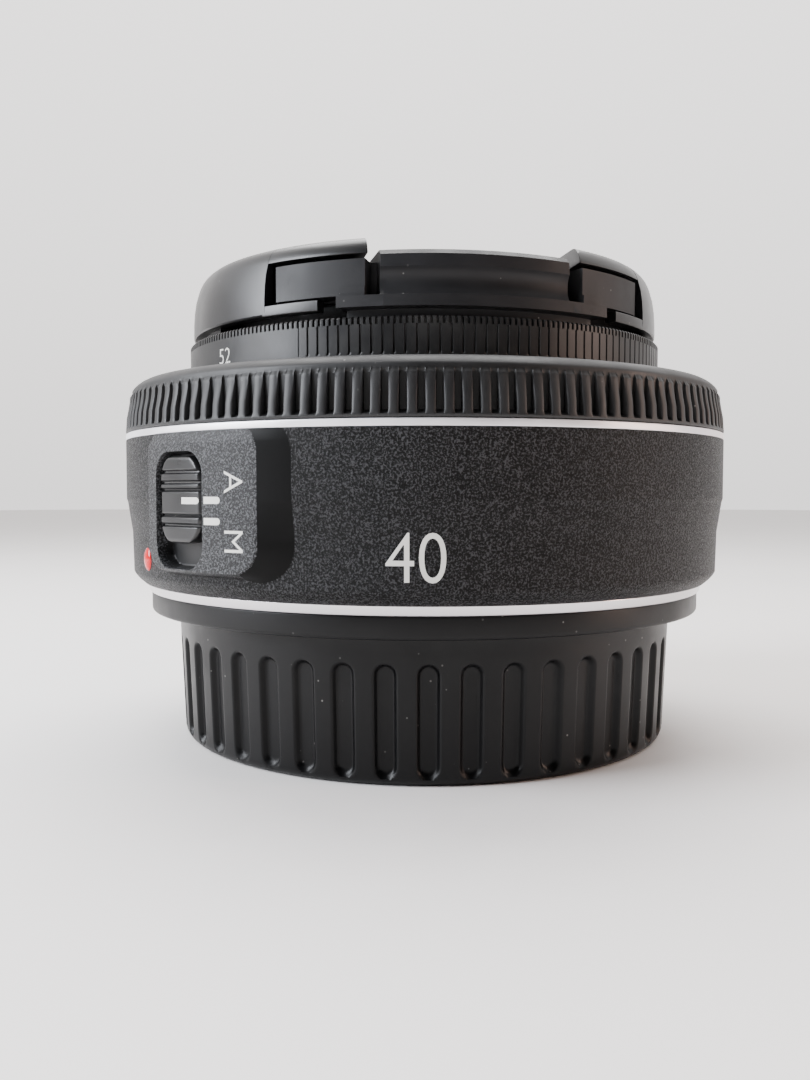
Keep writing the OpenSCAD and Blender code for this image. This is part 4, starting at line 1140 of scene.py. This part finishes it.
            # The slope right of the pad's crest gets the darker slope material, painted shade where it faces
            # away from the light
            sloped = 0.02 < raised < 0.93 and angle > self.pad_crest - 3
            if deep or radius < self.inner_r + 0.1:
                polygon.material_index = 1
            else:
                polygon.material_index = 3 if sloped else 2 if raised >= 0.5 else 0


@dataclass
class TrimRing:
    """The bright ring between the casing and the focus ring."""

    inner_r: float = 31.4

    def build(self) -> None:
        """Turns the ring."""
        low, high, edge = node_span("trim_ring")
        outline = rounded([(self.inner_r, low, 0), (edge, low, 0.12), (edge, high, 0.16),
                           (self.inner_r, high, 0)])
        ring = smooth(sweep("trim_ring_bright", outline, 288), 40)
        put(ring, Body.LENS, TRIM_ALUMINIUM, "trim_aluminium", "trim_ring")


@dataclass
class IndexDot:
    """The red mounting dot: an oval bead set into the casing."""

    angle: float = -57.8
    z: float = 20.5
    half_width: float = 1.05
    half_height: float = 1.25
    stand: float = 33.75

    def build(self) -> None:
        """Builds the bead as a low dome over an oval, its crest at the frame's radius."""
        rings, spokes = 7, 40
        base = 33.3
        points, faces = [], []
        for i in range(rings + 1):
            t = math.pi / 2 * i / rings
            out, rise = math.cos(t), math.sin(t)
            for k in range(spokes):
                a = 2 * math.pi * k / spokes
                turn = self.angle + math.degrees(self.half_width * out * math.cos(a) / base)
                points.append(place_round(base + (self.stand - base) * rise, turn,
                                          self.z + self.half_height * out * math.sin(a)))
        back = len(points)
        for k in range(spokes):
            a = 2 * math.pi * k / spokes
            turn = self.angle + math.degrees(self.half_width * math.cos(a) / base)
            points.append(place_round(base - 0.6, turn, self.z + self.half_height * math.sin(a)))
        for i in range(rings):
            for k in range(spokes):
                q = (k + 1) % spokes
                faces.append((i * spokes + k, i * spokes + q, (i + 1) * spokes + q, (i + 1) * spokes + k))
        for k in range(spokes):
            q = (k + 1) % spokes
            faces.append((back + k, back + q, q, k))
        faces.append(tuple(range(back + spokes - 1, back - 1, -1)))
        bead = mesh_object("index_dot_bead", np.array(points), faces)
        weld(bead)
        put(smooth(bead, 40), Body.LENS, DOT_ACRYLIC, "dot_red", "index_dot")


@dataclass
class ModeSwitch:
    """The sliding knob of the focus mode switch: rounded ends, a flat middle and three grip ridges."""

    angle: float = -42.7
    low: float = 22.5
    high: float = 30.7
    width: float = 6.5
    foot_r: float = 33.05
    face_r: float = 34.2
    crown_r: float = 34.52
    grooves: tuple[float, ...] = (24.2, 25.1, 27.5, 28.2, 29.2)

    def half_width(self, z: float) -> float:
        """Gives the knob's half width at a height: an outline with half-round ends.

        Args:
            z: Height in mm.

        Returns:
            The half width in mm.
        """
        half, round_by = self.width / 2, 2.3
        edge = min(z - self.low, self.high - z)
        if edge >= round_by:
            return half
        t = max(0.0, 1 - edge / round_by)
        return half - round_by * (1 - math.sqrt(max(0.0, 1 - t * t)))

    def face(self, u: float, z: float) -> float:
        """Gives the face's radius at a share u of the half width and a height.

        Args:
            u: Place across the knob, from -1 to 1 at its edges.
            z: Height in mm.

        Returns:
            The radius in mm.
        """
        sunk = max(math.exp(-((z - groove) / 0.15) ** 4) for groove in self.grooves)
        middle = 1.0 if self.grooves[1] < z < self.grooves[2] else 0.0
        rim = max(0.0, abs(u) - 0.86) / 0.14
        end = max(0.0, 0.35 - min(z - self.low, self.high - z)) / 0.35
        return self.crown_r - 0.32 * sunk - 0.06 * middle - 0.3 * max(rim, end) ** 2

    def build(self) -> None:
        """Builds the knob as rows of points from its lower end to its upper end."""
        rows = np.concatenate([self.low + np.array([0.0, 0.02, 0.06, 0.12, 0.2, 0.3, 0.42, 0.56, 0.7, 0.82]),
                               np.arange(self.low + 0.95, self.high - 0.9, 0.07),
                               self.high - np.array([0.82, 0.7, 0.56, 0.42, 0.3, 0.2, 0.12, 0.06, 0.02,
                                                     0.0])])
        shares = np.array([-1, -0.97, -0.93, -0.89, -0.84, -0.7, -0.4, 0, 0.4, 0.7, 0.84, 0.89, 0.93, 0.97,
                           1])
        points, faces = [], []
        for z in rows:
            half = max(self.half_width(float(z)), 0.6)
            for u in shares:
                turn = self.angle + math.degrees(u * half / self.face_r)
                points.append(place_round(self.face(float(u), float(z)), turn, float(z)))
            for u in shares[::-1]:
                turn = self.angle + math.degrees(u * half / self.face_r)
                points.append(place_round(self.foot_r, turn, float(z)))
        n = 2 * len(shares)
        for i in range(len(rows) - 1):
            for k in range(n):
                q = (k + 1) % n
                faces.append((i * n + k, i * n + q, (i + 1) * n + q, (i + 1) * n + k))
        faces.append(tuple(range(n - 1, -1, -1)))
        faces.append(tuple(range((len(rows) - 1) * n, len(rows) * n)))
        knob = mesh_object("switch_knob_moulded", np.array(points), faces)
        weld(knob)
        put(smooth(knob, 45), Body.SWITCH, KNOB_ABS, "black_plastic", "switch_knob")


# ---- Rings ----


@dataclass
class FocusRing:
    """The ribbed focus ring: ribs with round tops that fade into a smooth rounded shoulder."""

    ribs: int = 135
    inner_r: float = 30.5
    groove_r: float = 33.35
    shoulder_z: float = 37.9

    def relief(self, theta: np.ndarray, radius: np.ndarray, height: np.ndarray) -> np.ndarray:
        """Sinks the gaps between the ribs.

        Args:
            theta: Angle round the axis in degrees.
            radius: Radius of the plain surface in mm.
            height: Height z in mm.

        Returns:
            The change of radius in mm.
        """
        pitch = 360.0 / self.ribs
        off = np.abs((theta + pitch / 2) % pitch - pitch / 2) / pitch * 2
        gap = step_smooth((off - 0.5) / 0.15)
        crown = 0.06 * (off / 0.5) ** 2 * (off < 0.5)
        fade = 1.0 - step_smooth((height - self.shoulder_z + 0.25) / 0.5)
        low = step_smooth((height - 33.95) / 0.3)
        outer = (radius > self.inner_r + 1.7) & (height > 33.66)
        depth = np.maximum(radius - self.groove_r, 0.0)
        return np.where(outer, -(depth * gap + np.minimum(crown, depth)) * fade * low, 0.0)

    def build(self) -> None:
        """Builds one rib's sector and repeats it round the axis."""
        low, high, edge = node_span("focus_ring")
        rows = [(edge - 0.1, low), (edge, low + 0.12), (edge, low + 0.3), (edge - 0.02, low + 0.45),
                (edge - 0.04, low + 0.7), (edge - 0.1, 35.3), (edge - 0.3, 36.3), (edge - 0.45, 37.2)]
        rows += [(edge - 0.45 - 0.06 * k, 37.5 + 0.1 * k) for k in range(6)]
        rows += [(33.38, 38.2), (33.2, 38.45), (32.95, 38.7), (32.65, 38.92), (32.3, 39.1),
                 (31.95, high - 0.02),
                 (31.6, high)]
        outline = rows + [(self.inner_r + 0.1, high), (self.inner_r, high - 0.1), (self.inner_r, low)]
        pitch = 360.0 / self.ribs
        angles = [pitch * share for share in (-0.5, -0.33, -0.3, -0.27, -0.24, -0.12, 0, 0.12, 0.24, 0.27,
                                              0.3, 0.33,
                                              0.5)]
        sector = sweep("focus_ring_ribbed", outline, angles, self.relief)
        repeated_round(sector, self.ribs, pitch, FOCUS_RING_PC)
        weld(sector)
        smooth(sector, 55)
        settle(sector, Body.FOCUS_RING, "black_plastic", "focus_ring")


@dataclass
class Barrel:
    """The plain turned parts in front: ring retainer and name ring; the front barrel and front retainer keep
    their CAD shape.
    """

    def build(self) -> None:
        """Turns each part from its outline."""
        low, high, edge = node_span("ring_retainer")
        outline = rounded([(27.6, low, 0), (edge, low, 0), (edge, high, 0.1), (27.6, high, 0.15)])
        put(smooth(sweep("ring_retainer_turned", outline, 256)), Body.LENS, BARREL_ANODISED,
            "black_aluminium",
            "ring_retainer")
        low, high, edge = node_span("front_name_ring")
        steps = [(edge, low, 0), (edge, high, 0.08), (24.9, high, 0.05), (24.7, high - 0.12, 0.05),
                 (12.4, high - 0.12, 0.05), (12.2, high, 0.05), (9.7, high, 0.12), (9.7, low, 0)]
        put(smooth(sweep("front_name_ring_turned", rounded(steps), 256)), Body.FRONT_GROUP, BARREL_ANODISED,
            "black_aluminium", "front_name_ring")


@dataclass
class Filter:
    """The screw-in filter: a knurled ring with fine teeth on its front edge, its glass and the retainer.

    Attributes:
        pitch: Degrees between knurls.
        knurl_from: Angle where the knurl starts.
        plain_from: Angle where the plain stretch with the size mark starts.
        teeth: Teeth round the front edge.
    """

    pitch: float = 2.25
    knurl_from: float = -27.0
    plain_from: float = -97.0
    bore_r: float = 25.6
    thread_r: float = 25.55
    thread_z: float = 37.0
    low: float = 39.25
    knurl_low: float = 39.95
    knurl_high: float = 42.6
    teeth: int = 300
    tooth_z: float = 42.7

    def relief(self, theta: np.ndarray, radius: np.ndarray, height: np.ndarray) -> np.ndarray:
        """Cuts the fine grooves between the flat lands.

        Args:
            theta: Angle round the axis in degrees.
            radius: Radius of the plain surface in mm.
            height: Height z in mm.

        Returns:
            The change of radius in mm.
        """
        half = self.pitch / 2
        off = np.abs((theta + half) % self.pitch - half) / half
        gap = step_smooth((off - 0.8) / 0.12)
        run = (step_smooth((height - self.knurl_low) / 0.2)
               * (1 - step_smooth((height - self.knurl_high) / 0.2)))
        return np.where(radius > self.bore_r + 0.8, -0.16 * gap * run, 0.0)

    def outline(self, edge: float) -> list[Point]:
        """Gives the ring's outline up to the foot of its teeth.

        Args:
            edge: Radius of the outer side in mm.

        Returns:
            The outline as radius and height pairs.
        """
        outer = [(edge - 0.25, self.low), (edge - 0.06, self.low + 0.08), (edge, self.low + 0.25)]
        outer += [(edge, z) for z in (39.9, 40.0, 40.1, 40.2, 42.58, 42.66, 42.7)]
        return outer + [(self.bore_r, self.tooth_z), (self.bore_r, self.low + 0.1), (24.6, self.low + 0.1),
                        (24.6, self.thread_z), (self.thread_r, self.thread_z + 0.2),
                        (self.thread_r, self.low)]

    def build(self) -> None:
        """Builds the knurled and plain stretches, the teeth, the glass and the retainer."""
        low, high, edge = node_span("filter_ring")
        half = self.pitch / 2
        shares = (-1, -0.93, -0.88, -0.84, -0.79, -0.5, 0, 0.5, 0.79, 0.84, 0.88, 0.93, 1)
        outline = self.outline(edge)
        knurl = sweep("filter_ring_knurl", outline, [half * s for s in shares], self.relief)
        count = round((360.0 + self.plain_from - self.knurl_from) / self.pitch)
        first = self.knurl_from + half
        repeated_round(knurl, count, self.pitch, FILTER_ANODISED, start=first)
        end = first + (count - 0.5) * self.pitch
        plain = sweep("filter_ring_plain", outline, np.linspace(end, self.knurl_from + 360.0, 80))
        plain.data.materials.append(FILTER_ANODISED.material())
        ring = joined("filter_ring_turned", [knurl, plain])
        ring.data.materials.append(FILTER_ANODISED.material())
        for polygon in ring.data.polygons:
            polygon.material_index = 0
        weld(ring, 0.003)
        smooth(ring, 40)
        settle(ring, Body.FILTER, "black_aluminium", "filter_ring")
        self.build_teeth(high, edge)
        self.build_inside()

    def build_teeth(self, high: float, edge: float) -> None:
        """Builds the fine teeth of the front edge on a thin ring.

        Args:
            high: Height of the front edge in mm.
            edge: Radius of the outer side in mm.
        """
        step = 360.0 / self.teeth

        def wave(theta: np.ndarray, radius: np.ndarray, height: np.ndarray) -> np.ndarray:
            """Cuts the gap between two teeth."""
            off = np.abs((theta + step / 2) % step - step / 2) / step * 2
            return np.where(radius > edge - 0.2, -0.28 * step_smooth((off - 0.5) / 0.3), 0.0)

        tooth = [(edge, self.tooth_z), (edge, high - 0.16), (edge - 0.14, high), (self.bore_r + 0.1, high),
                 (self.bore_r, high - 0.1), (self.bore_r, self.tooth_z)]
        rim = sweep("filter_teeth", tooth, [step * s for s in (-0.5, -0.38, -0.27, 0, 0.27, 0.38, 0.5)], wave)
        repeated_round(rim, self.teeth, step, FILTER_ANODISED)
        weld(rim)
        settle(smooth(rim, 40), Body.FILTER, "black_aluminium")

    def build_inside(self) -> None:
        """Builds the flat glass and the ring that holds it."""
        low, high, edge = node_span("filter_glass")
        pane = rounded([(0, low, 0), (edge, low, 0.15), (edge, high, 0.15), (0, high, 0)], closed=False)
        put(smooth(sweep("filter_glass_pane", pane, 192)), Body.FILTER, FILTER_GLASS, "lens_glass",
            "filter_glass")
        low, high, edge = node_span("filter_retainer")
        grip = rounded([(24.2, low, 0), (edge, low, 0), (edge, high, 0.08), (24.2, high, 0.08)])
        put(smooth(sweep("filter_retainer_turned", grip, 192)), Body.FILTER, BARREL_ANODISED,
            "black_aluminium",
            "filter_retainer")


# ---- The front cap ----


@dataclass
class CapBody:
    """The front cap's fixed body: the CAD shape with its edges softened by a live bevel."""

    edge: float = 0.16

    def build(self) -> None:
        """Softens the body's edges and gives it its finish."""
        piece = frame["nodes"]["cap_body"]
        piece.data.materials.clear()
        piece.data.materials.append(CAP_BODY_ABS.material())
        round_off = piece.modifiers.new("soft_edges", "BEVEL")
        round_off.width = self.edge * MM
        round_off.segments = 2
        round_off.limit_method = "ANGLE"
        round_off.angle_limit = math.radians(40)
        LOG.info("cap_body: edges softened by %.2f mm", self.edge)


@dataclass
class PinchLever:
    """A pinch lever of the front cap: a wing-like plate and skirt with one smooth outer side.

    Its angles are counted with the lever's middle at 90 degrees.

    Attributes:
        turn: Degrees that the whole cap is turned by.
        chord: Distance from the cap's middle line to the plate's straight edge.
        skirt_from: Angle where the skirt starts.
        lip_from: Angle where the lip under the fixed block starts.
    """

    turn: float = 11.0
    chord: float = 10.33
    skirt_from: float = 47.4
    lip_from: float = 34.0
    foot_z: float = 44.3
    plate_z: float = 49.4
    inner_r: float = 25.3
    hook_low: float = 42.3

    def side(self, top: float, inset: float) -> list[Point]:
        """Gives the smooth outer side from the plate's underside to its top face.

        Args:
            top: Height of the top face in mm.
            inset: How far the side is drawn in, in mm.

        Returns:
            The side as radius and height pairs.
        """
        points = [(26.03, 49.4), (25.9, 49.75), (25.72, 50.12), (25.48, 50.46), (25.18, 50.76), (24.84, 51.0),
                  (24.46, 51.14), (24.0, top)]
        return [(r - inset, min(z, top)) for r, z in points]

    def plate(self, top: float) -> bpy.types.Object:
        """Turns the top plate and cuts its straight edge.

        Args:
            top: Height of the top face in mm.

        Returns:
            The plate.
        """
        outline = [(0.0, self.plate_z)] + self.side(top, 0.02) + [(12.0, top), (0.0, top)]
        disc = sweep("plate", outline, np.linspace(4, 176, 130), caps=True)
        keep = box_tool((self.chord, -30, self.plate_z - 1), (40, 30, top + 1))
        return bevelled(cut(disc, keep, "INTERSECT"), 0.22, 3, 50)

    def skirt(self, top: float) -> bpy.types.Object:
        """Turns the skirt, whose outer side runs into the plate's.

        Args:
            top: Height of the top face in mm.

        Returns:
            The skirt.
        """
        outline = [(self.inner_r, self.foot_z), (26.45, self.foot_z), (26.58, self.foot_z + 0.15),
                   (26.6, 44.9),
                   (26.58, 46.0), (26.5, 47.2), (26.34, 48.3)] + self.side(top, 0.0)
        outline += [(23.8, top), (23.8, self.plate_z), (self.inner_r, self.plate_z)]
        return smooth(sweep("skirt", outline, np.linspace(self.skirt_from, 180 - self.skirt_from, 90),
                            caps=True), 32)

    def small_parts(self) -> list[bpy.types.Object]:
        """Turns the two lips and the hook.

        Returns:
            The two lips and the hook.
        """
        lip = rounded([(self.inner_r, 44.2, 0.1), (26.58, 44.2, 0.15), (26.58, 45.25, 0.12),
                       (self.inner_r, 45.25, 0)])
        parts = []
        for start in (self.lip_from, 180 - self.skirt_from - 0.6):
            stop = start + self.skirt_from - self.lip_from + 0.6
            parts.append(smooth(sweep("lip", lip, np.linspace(start, stop, 16), caps=True)))
        hook = [(24.45, self.hook_low), (25.4, self.hook_low), (25.55, self.hook_low + 0.2), (25.55, 44.28),
                (25.6, 44.3), (25.6, 45.2), (24.45, 45.2)]
        parts.append(smooth(sweep("hook", hook, np.linspace(68, 112, 45), caps=True)))
        return parts

    def build(self) -> None:
        """Builds one lever, and its twin half a turn round."""
        for body, name, extra in ((Body.LEVER_RIGHT, "cap_lever_right", 0.0),
                                  (Body.LEVER_LEFT, "cap_lever_left", 180.0)):
            top = min(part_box(name)[1].z / MM, 51.2)
            whole = joined(name + "_wing", [self.plate(top), self.skirt(top)] + self.small_parts())
            turned(whole, self.turn + extra)
            put(whole, body, FRONT_CAP_ABS, "cap_plastic", name)


# ---- Lettering ----


@dataclass
class Lettering:
    """Painted marks: the focal length, the focus modes, the index ticks and the filter size."""

    lift: float = 0.012

    def glyphs(self, text: str, height: float, width_scale: float = 1.0) -> bpy.types.Object:
        """Makes a text's flat mesh in mm, its lower left corner at the origin.

        Args:
            text: The characters.
            height: Height of a capital.
            width_scale: Stretch along the line.

        Returns:
            The linked mesh object, in metres.
        """
        curve = bpy.data.curves.new("mark", "FONT")
        curve.body = text
        curve.resolution_u = 6
        curve.offset = -0.008
        holder = bpy.data.objects.new("mark", curve)
        bpy.context.scene.collection.objects.link(holder)
        bpy.context.view_layer.update()
        mesh = bpy.data.meshes.new_from_object(holder.evaluated_get(bpy.context.evaluated_depsgraph_get()))
        bpy.data.objects.remove(holder)
        spots = np.array([v.co[:] for v in mesh.vertices])
        low, high = spots.min(axis=0), spots.max(axis=0)
        scale = height * MM / (high[1] - low[1])
        mesh.transform(Matrix.Diagonal((scale * width_scale, scale, 1, 1)) @ Matrix.Translation((-low[0],
                                                                                                 -low[1], 0)))
        piece = bpy.data.objects.new("mark_" + text, mesh)
        bpy.context.scene.collection.objects.link(piece)
        return piece

    def wrap(self, piece: bpy.types.Object, angle: float, z: float, radius: Callable[[float, float], float],
             body: Body, slot: str, name: str) -> None:
        """Cuts a flat mark into narrow strips, bends it round the axis and lays it on the surface.

        Args:
            piece: The flat mark, x along the line and y up.
            angle: Angle of its left edge.
            z: Height of its lower edge.
            radius: Surface radius at an angle and a height.
            body: The body it rides on.
            slot: Its material slot.
            name: The finished object's name.
        """
        work = bmesh.new()
        work.from_mesh(piece.data)
        edges = np.array([v.co[:] for v in work.verts])
        low, high = edges.min(axis=0), edges.max(axis=0)
        for axis in (0, 1):
            for at in np.arange(low[axis] + 0.2 * MM, high[axis], 0.25 * MM):
                spot, way = Vector((0, 0, 0)), Vector((0, 0, 0))
                spot[axis], way[axis] = at, 1.0
                bmesh.ops.bisect_plane(work, geom=work.verts[:] + work.edges[:] + work.faces[:],
                                       plane_co=spot,
                                       plane_no=way)
        for vertex in work.verts:
            around = angle + math.degrees(vertex.co.x / MM / radius(angle, z))
            up = z + vertex.co.y / MM
            vertex.co = place_round(radius(around, up) + self.lift, around, up)
        bmesh.ops.remove_doubles(work, verts=work.verts, dist=0.001 * MM)
        work.to_mesh(piece.data)
        work.free()
        piece.name = name
        put(piece, body, WHITE_INK, slot)

    def bar(self, width: float, height: float) -> bpy.types.Object:
        """Makes a flat bar with a rounded right end for a tick, its lower left corner at the origin.

        Args:
            width: Length of the bar in mm.
            height: Thickness of the bar in mm.

        Returns:
            The bar.
        """
        half = height / 2
        bend = [(width - half + half * math.sin(a), half - half * math.cos(a), 0)
                for a in np.linspace(0, math.pi, 9)]
        outline = np.array([(0, 0, 0)] + bend + [(0, height, 0)]) * MM
        return mesh_object("bar", outline, [tuple(range(len(outline)))])

    def upright(self, piece: bpy.types.Object) -> bpy.types.Object:
        """Turns a mark a quarter turn clockwise, so that its tops point right.

        Args:
            piece: Mark to turn.

        Returns:
            The turned mark.
        """
        piece.data.transform(Matrix.Rotation(-math.pi / 2, 4, "Z"))
        low = np.array([v.co[:] for v in piece.data.vertices]).min(axis=0)
        piece.data.transform(Matrix.Translation((-low[0], -low[1], 0)))
        return piece

    def build(self, casing: Casing, knob: ModeSwitch) -> None:
        """Lays every mark on its surface.

        Args:
            casing: Casing that carries the marks.
            knob: Knob that carries the index.
        """

        def shell(angle: float, z: float) -> float:
            """Gives the casing's radius, pad and pocket included."""
            base = np.array(casing.shell_radius(np.array(z)))
            return float(base + casing.relief(np.array(angle), base, np.array(z)))

        def knob_face(angle: float, z: float) -> float:
            """Gives the knob's radius."""
            share = math.radians(angle - knob.angle) * knob.face_r / max(knob.half_width(z), 0.6)
            return knob.face(share, z)

        self.wrap(self.glyphs("40", 4.35, 0.87), -6.6, 19.5, shell, Body.LENS, "casing_plastic",
                  "mark_focal_length")
        for text, z, tall in (("A", 27.2, 2.1), ("M", 21.9, 2.1)):
            self.wrap(self.upright(self.glyphs(text, tall)), -32.1, z, shell, Body.LENS, "casing_plastic",
                      f"mark_mode_{text}")
        for number, z in enumerate((26.24, 24.32)):
            self.wrap(self.bar(2.05, 0.64), -36.4, z, shell, Body.LENS, "casing_plastic",
                      f"mark_tick_{number}")
        self.wrap(self.bar(2.5, 0.62), -41.9, 26.2, knob_face, Body.SWITCH, "black_plastic",
                  "mark_knob_index")
        self.wrap(self.glyphs("52", 1.55), -51.0, 40.2, lambda angle, z: 27.0 - self.lift, Body.FILTER,
                  "black_aluminium",
                  "mark_filter_size")


# ---- Everything else ----


@dataclass
class Interior:
    """The CAD nodes that keep their shape: each gets its finish."""

    def build(self) -> None:
        """Dresses every node in the finish table, and what is left of the lenses and front parts."""
        table = dict(NODE_FINISHES)
        table.update({"front_barrel": BARREL_ANODISED, "front_element": OPTICAL_GLASS,
                      "rear_element": OPTICAL_GLASS})
        for name, finish in table.items():
            node = frame["nodes"].get(name)
            if node is None:
                LOG.warning("no node called %s", name)
                continue
            node.data.materials.clear()
            node.data.materials.append(finish.material())
            LOG.info("%s: %s", name, finish.name)


@dataclass
class Studio:
    """A pale table under soft light, and the camera that looks across it at the lens.

    Attributes:
        eye: The camera's place.
        pitch: How far it looks down, in degrees.
        focal: Focal length in mm, on a 36 mm tall sensor.
    """

    eye: Corner = (-2.17, -115.8, 27.4)
    pitch: float = 2.9
    focal: float = 32.2
    floor_r: float = 1400.0

    def light(self, name: str, spot: Corner, aim: Corner, size: tuple[float, float], power: float,
              colour: str) -> None:
        """Adds an area light that looks from one point at another.

        Args:
            name: Name of the light.
            spot: Where it stands, in mm.
            aim: Point that it looks at, in mm.
            size: Its two sides in mm.
            power: Its power in watts.
            colour: Its colour as sRGB hex.
        """
        lamp = bpy.data.lights.new(name, "AREA")
        lamp.shape = "RECTANGLE"
        lamp.size, lamp.size_y = size[0] * MM, size[1] * MM
        lamp.energy = power
        lamp.color = linear(colour)[:3]
        holder = bpy.data.objects.new(name, lamp)
        holder.location = Vector(spot) * MM
        holder.rotation_euler = (Vector(aim) - Vector(spot)).to_track_quat("-Z", "Y").to_euler()
        bpy.context.scene.collection.objects.link(holder)

    def floor_material(self) -> bpy.types.Material:
        """Makes the matt pale table surface, faintly mottled.

        Returns:
            The material.
        """
        paper = Finish("table_matt_laminate", "f0edeb", 0.75).material()
        tree = paper.node_tree
        place = add_node(tree, "ShaderNodeTexCoord").outputs["Object"]
        mottled = noise(tree, place, 40.0, 3.0)
        tree.links.new(mix_colour(tree, mottled, "f8f5f3", "f3f0ee"), tree.nodes["Principled BSDF"].inputs[0])
        return paper

    def build(self) -> None:
        """Sets the floor, the world, the lights and the camera."""
        rim = np.linspace(0, 2 * math.pi, 96, endpoint=False)
        disc = np.stack([np.cos(rim), np.sin(rim), np.zeros(96)], axis=1) * self.floor_r * MM
        floor = mesh_object("table_top", disc, [tuple(range(96))])
        floor.data.materials.append(self.floor_material())
        world = bpy.data.worlds.new("studio")
        world.use_nodes = True
        tree = world.node_tree
        split = add_node(tree, "ShaderNodeSeparateXYZ",
                         {0: add_node(tree, "ShaderNodeTexCoord").outputs["Generated"]})
        back = add_node(tree, "ShaderNodeMapRange",
                        {"Value": split.outputs[1], "From Min": -0.55, "From Max": 0.35,
                                                     "To Min": 0.03, "To Max": 1.0},
                        interpolation_type="SMOOTHSTEP")
        high = add_node(tree, "ShaderNodeMapRange",
                        {"Value": split.outputs[2], "From Min": 0.0, "From Max": 0.8,
                                                     "To Min": 1.25, "To Max": 2.2})
        sides = add_node(tree, "ShaderNodeMath", {0: back.outputs[0], 1: high.outputs[0]},
                         operation="MULTIPLY")
        rear = add_node(tree, "ShaderNodeMapRange",
                        {"Value": split.outputs[1], "From Min": 0.55, "From Max": 0.85,
                                                     "To Min": 1.0, "To Max": 1.4},
                        interpolation_type="SMOOTHSTEP")
        whole = add_node(tree, "ShaderNodeMath", {0: sides.outputs[0], 1: rear.outputs[0]},
                         operation="MULTIPLY")
        tree.nodes["Background"].inputs["Color"].default_value = linear("f7f4f3")
        tree.links.new(whole.outputs[0], tree.nodes["Background"].inputs["Strength"])
        bpy.context.scene.world = world
        self.light("softbox_left", (-330, -110, 190), (0, 0, 35), (200, 260), 3.4, "f4f8ff")
        self.light("softbox_top", (0, 140, 360), (0, 0, 30), (320, 220), 1.6, "ffffff")
        self.light("strip_right", (260, -70, 80), (0, 0, 25), (40, 160), 0.3, "ffd9c6")
        camera = bpy.data.cameras.new("camera")
        camera.sensor_fit = "VERTICAL"
        camera.sensor_height = 36.0
        camera.lens = self.focal
        camera.clip_start = 0.001
        holder = bpy.data.objects.new("camera", camera)
        holder.location = Vector(self.eye) * MM
        holder.rotation_euler = (math.radians(90 - self.pitch), 0, 0)
        bpy.context.scene.collection.objects.link(holder)
        bpy.context.scene.camera = holder


def main() -> None:
    """Builds every sub-assembly in order."""
    logging.basicConfig(level=logging.INFO, format="%(message)s")
    casing, knob = Casing(), ModeSwitch()
    RearCap().build()
    MountRing().build()
    casing.build()
    TrimRing().build()
    IndexDot().build()
    knob.build()
    FocusRing().build()
    Barrel().build()
    Filter().build()
    CapBody().build()
    PinchLever().build()
    Lettering().build(casing, knob)
    Interior().build()
    Studio().build()


if __name__ == "__main__":
    main()
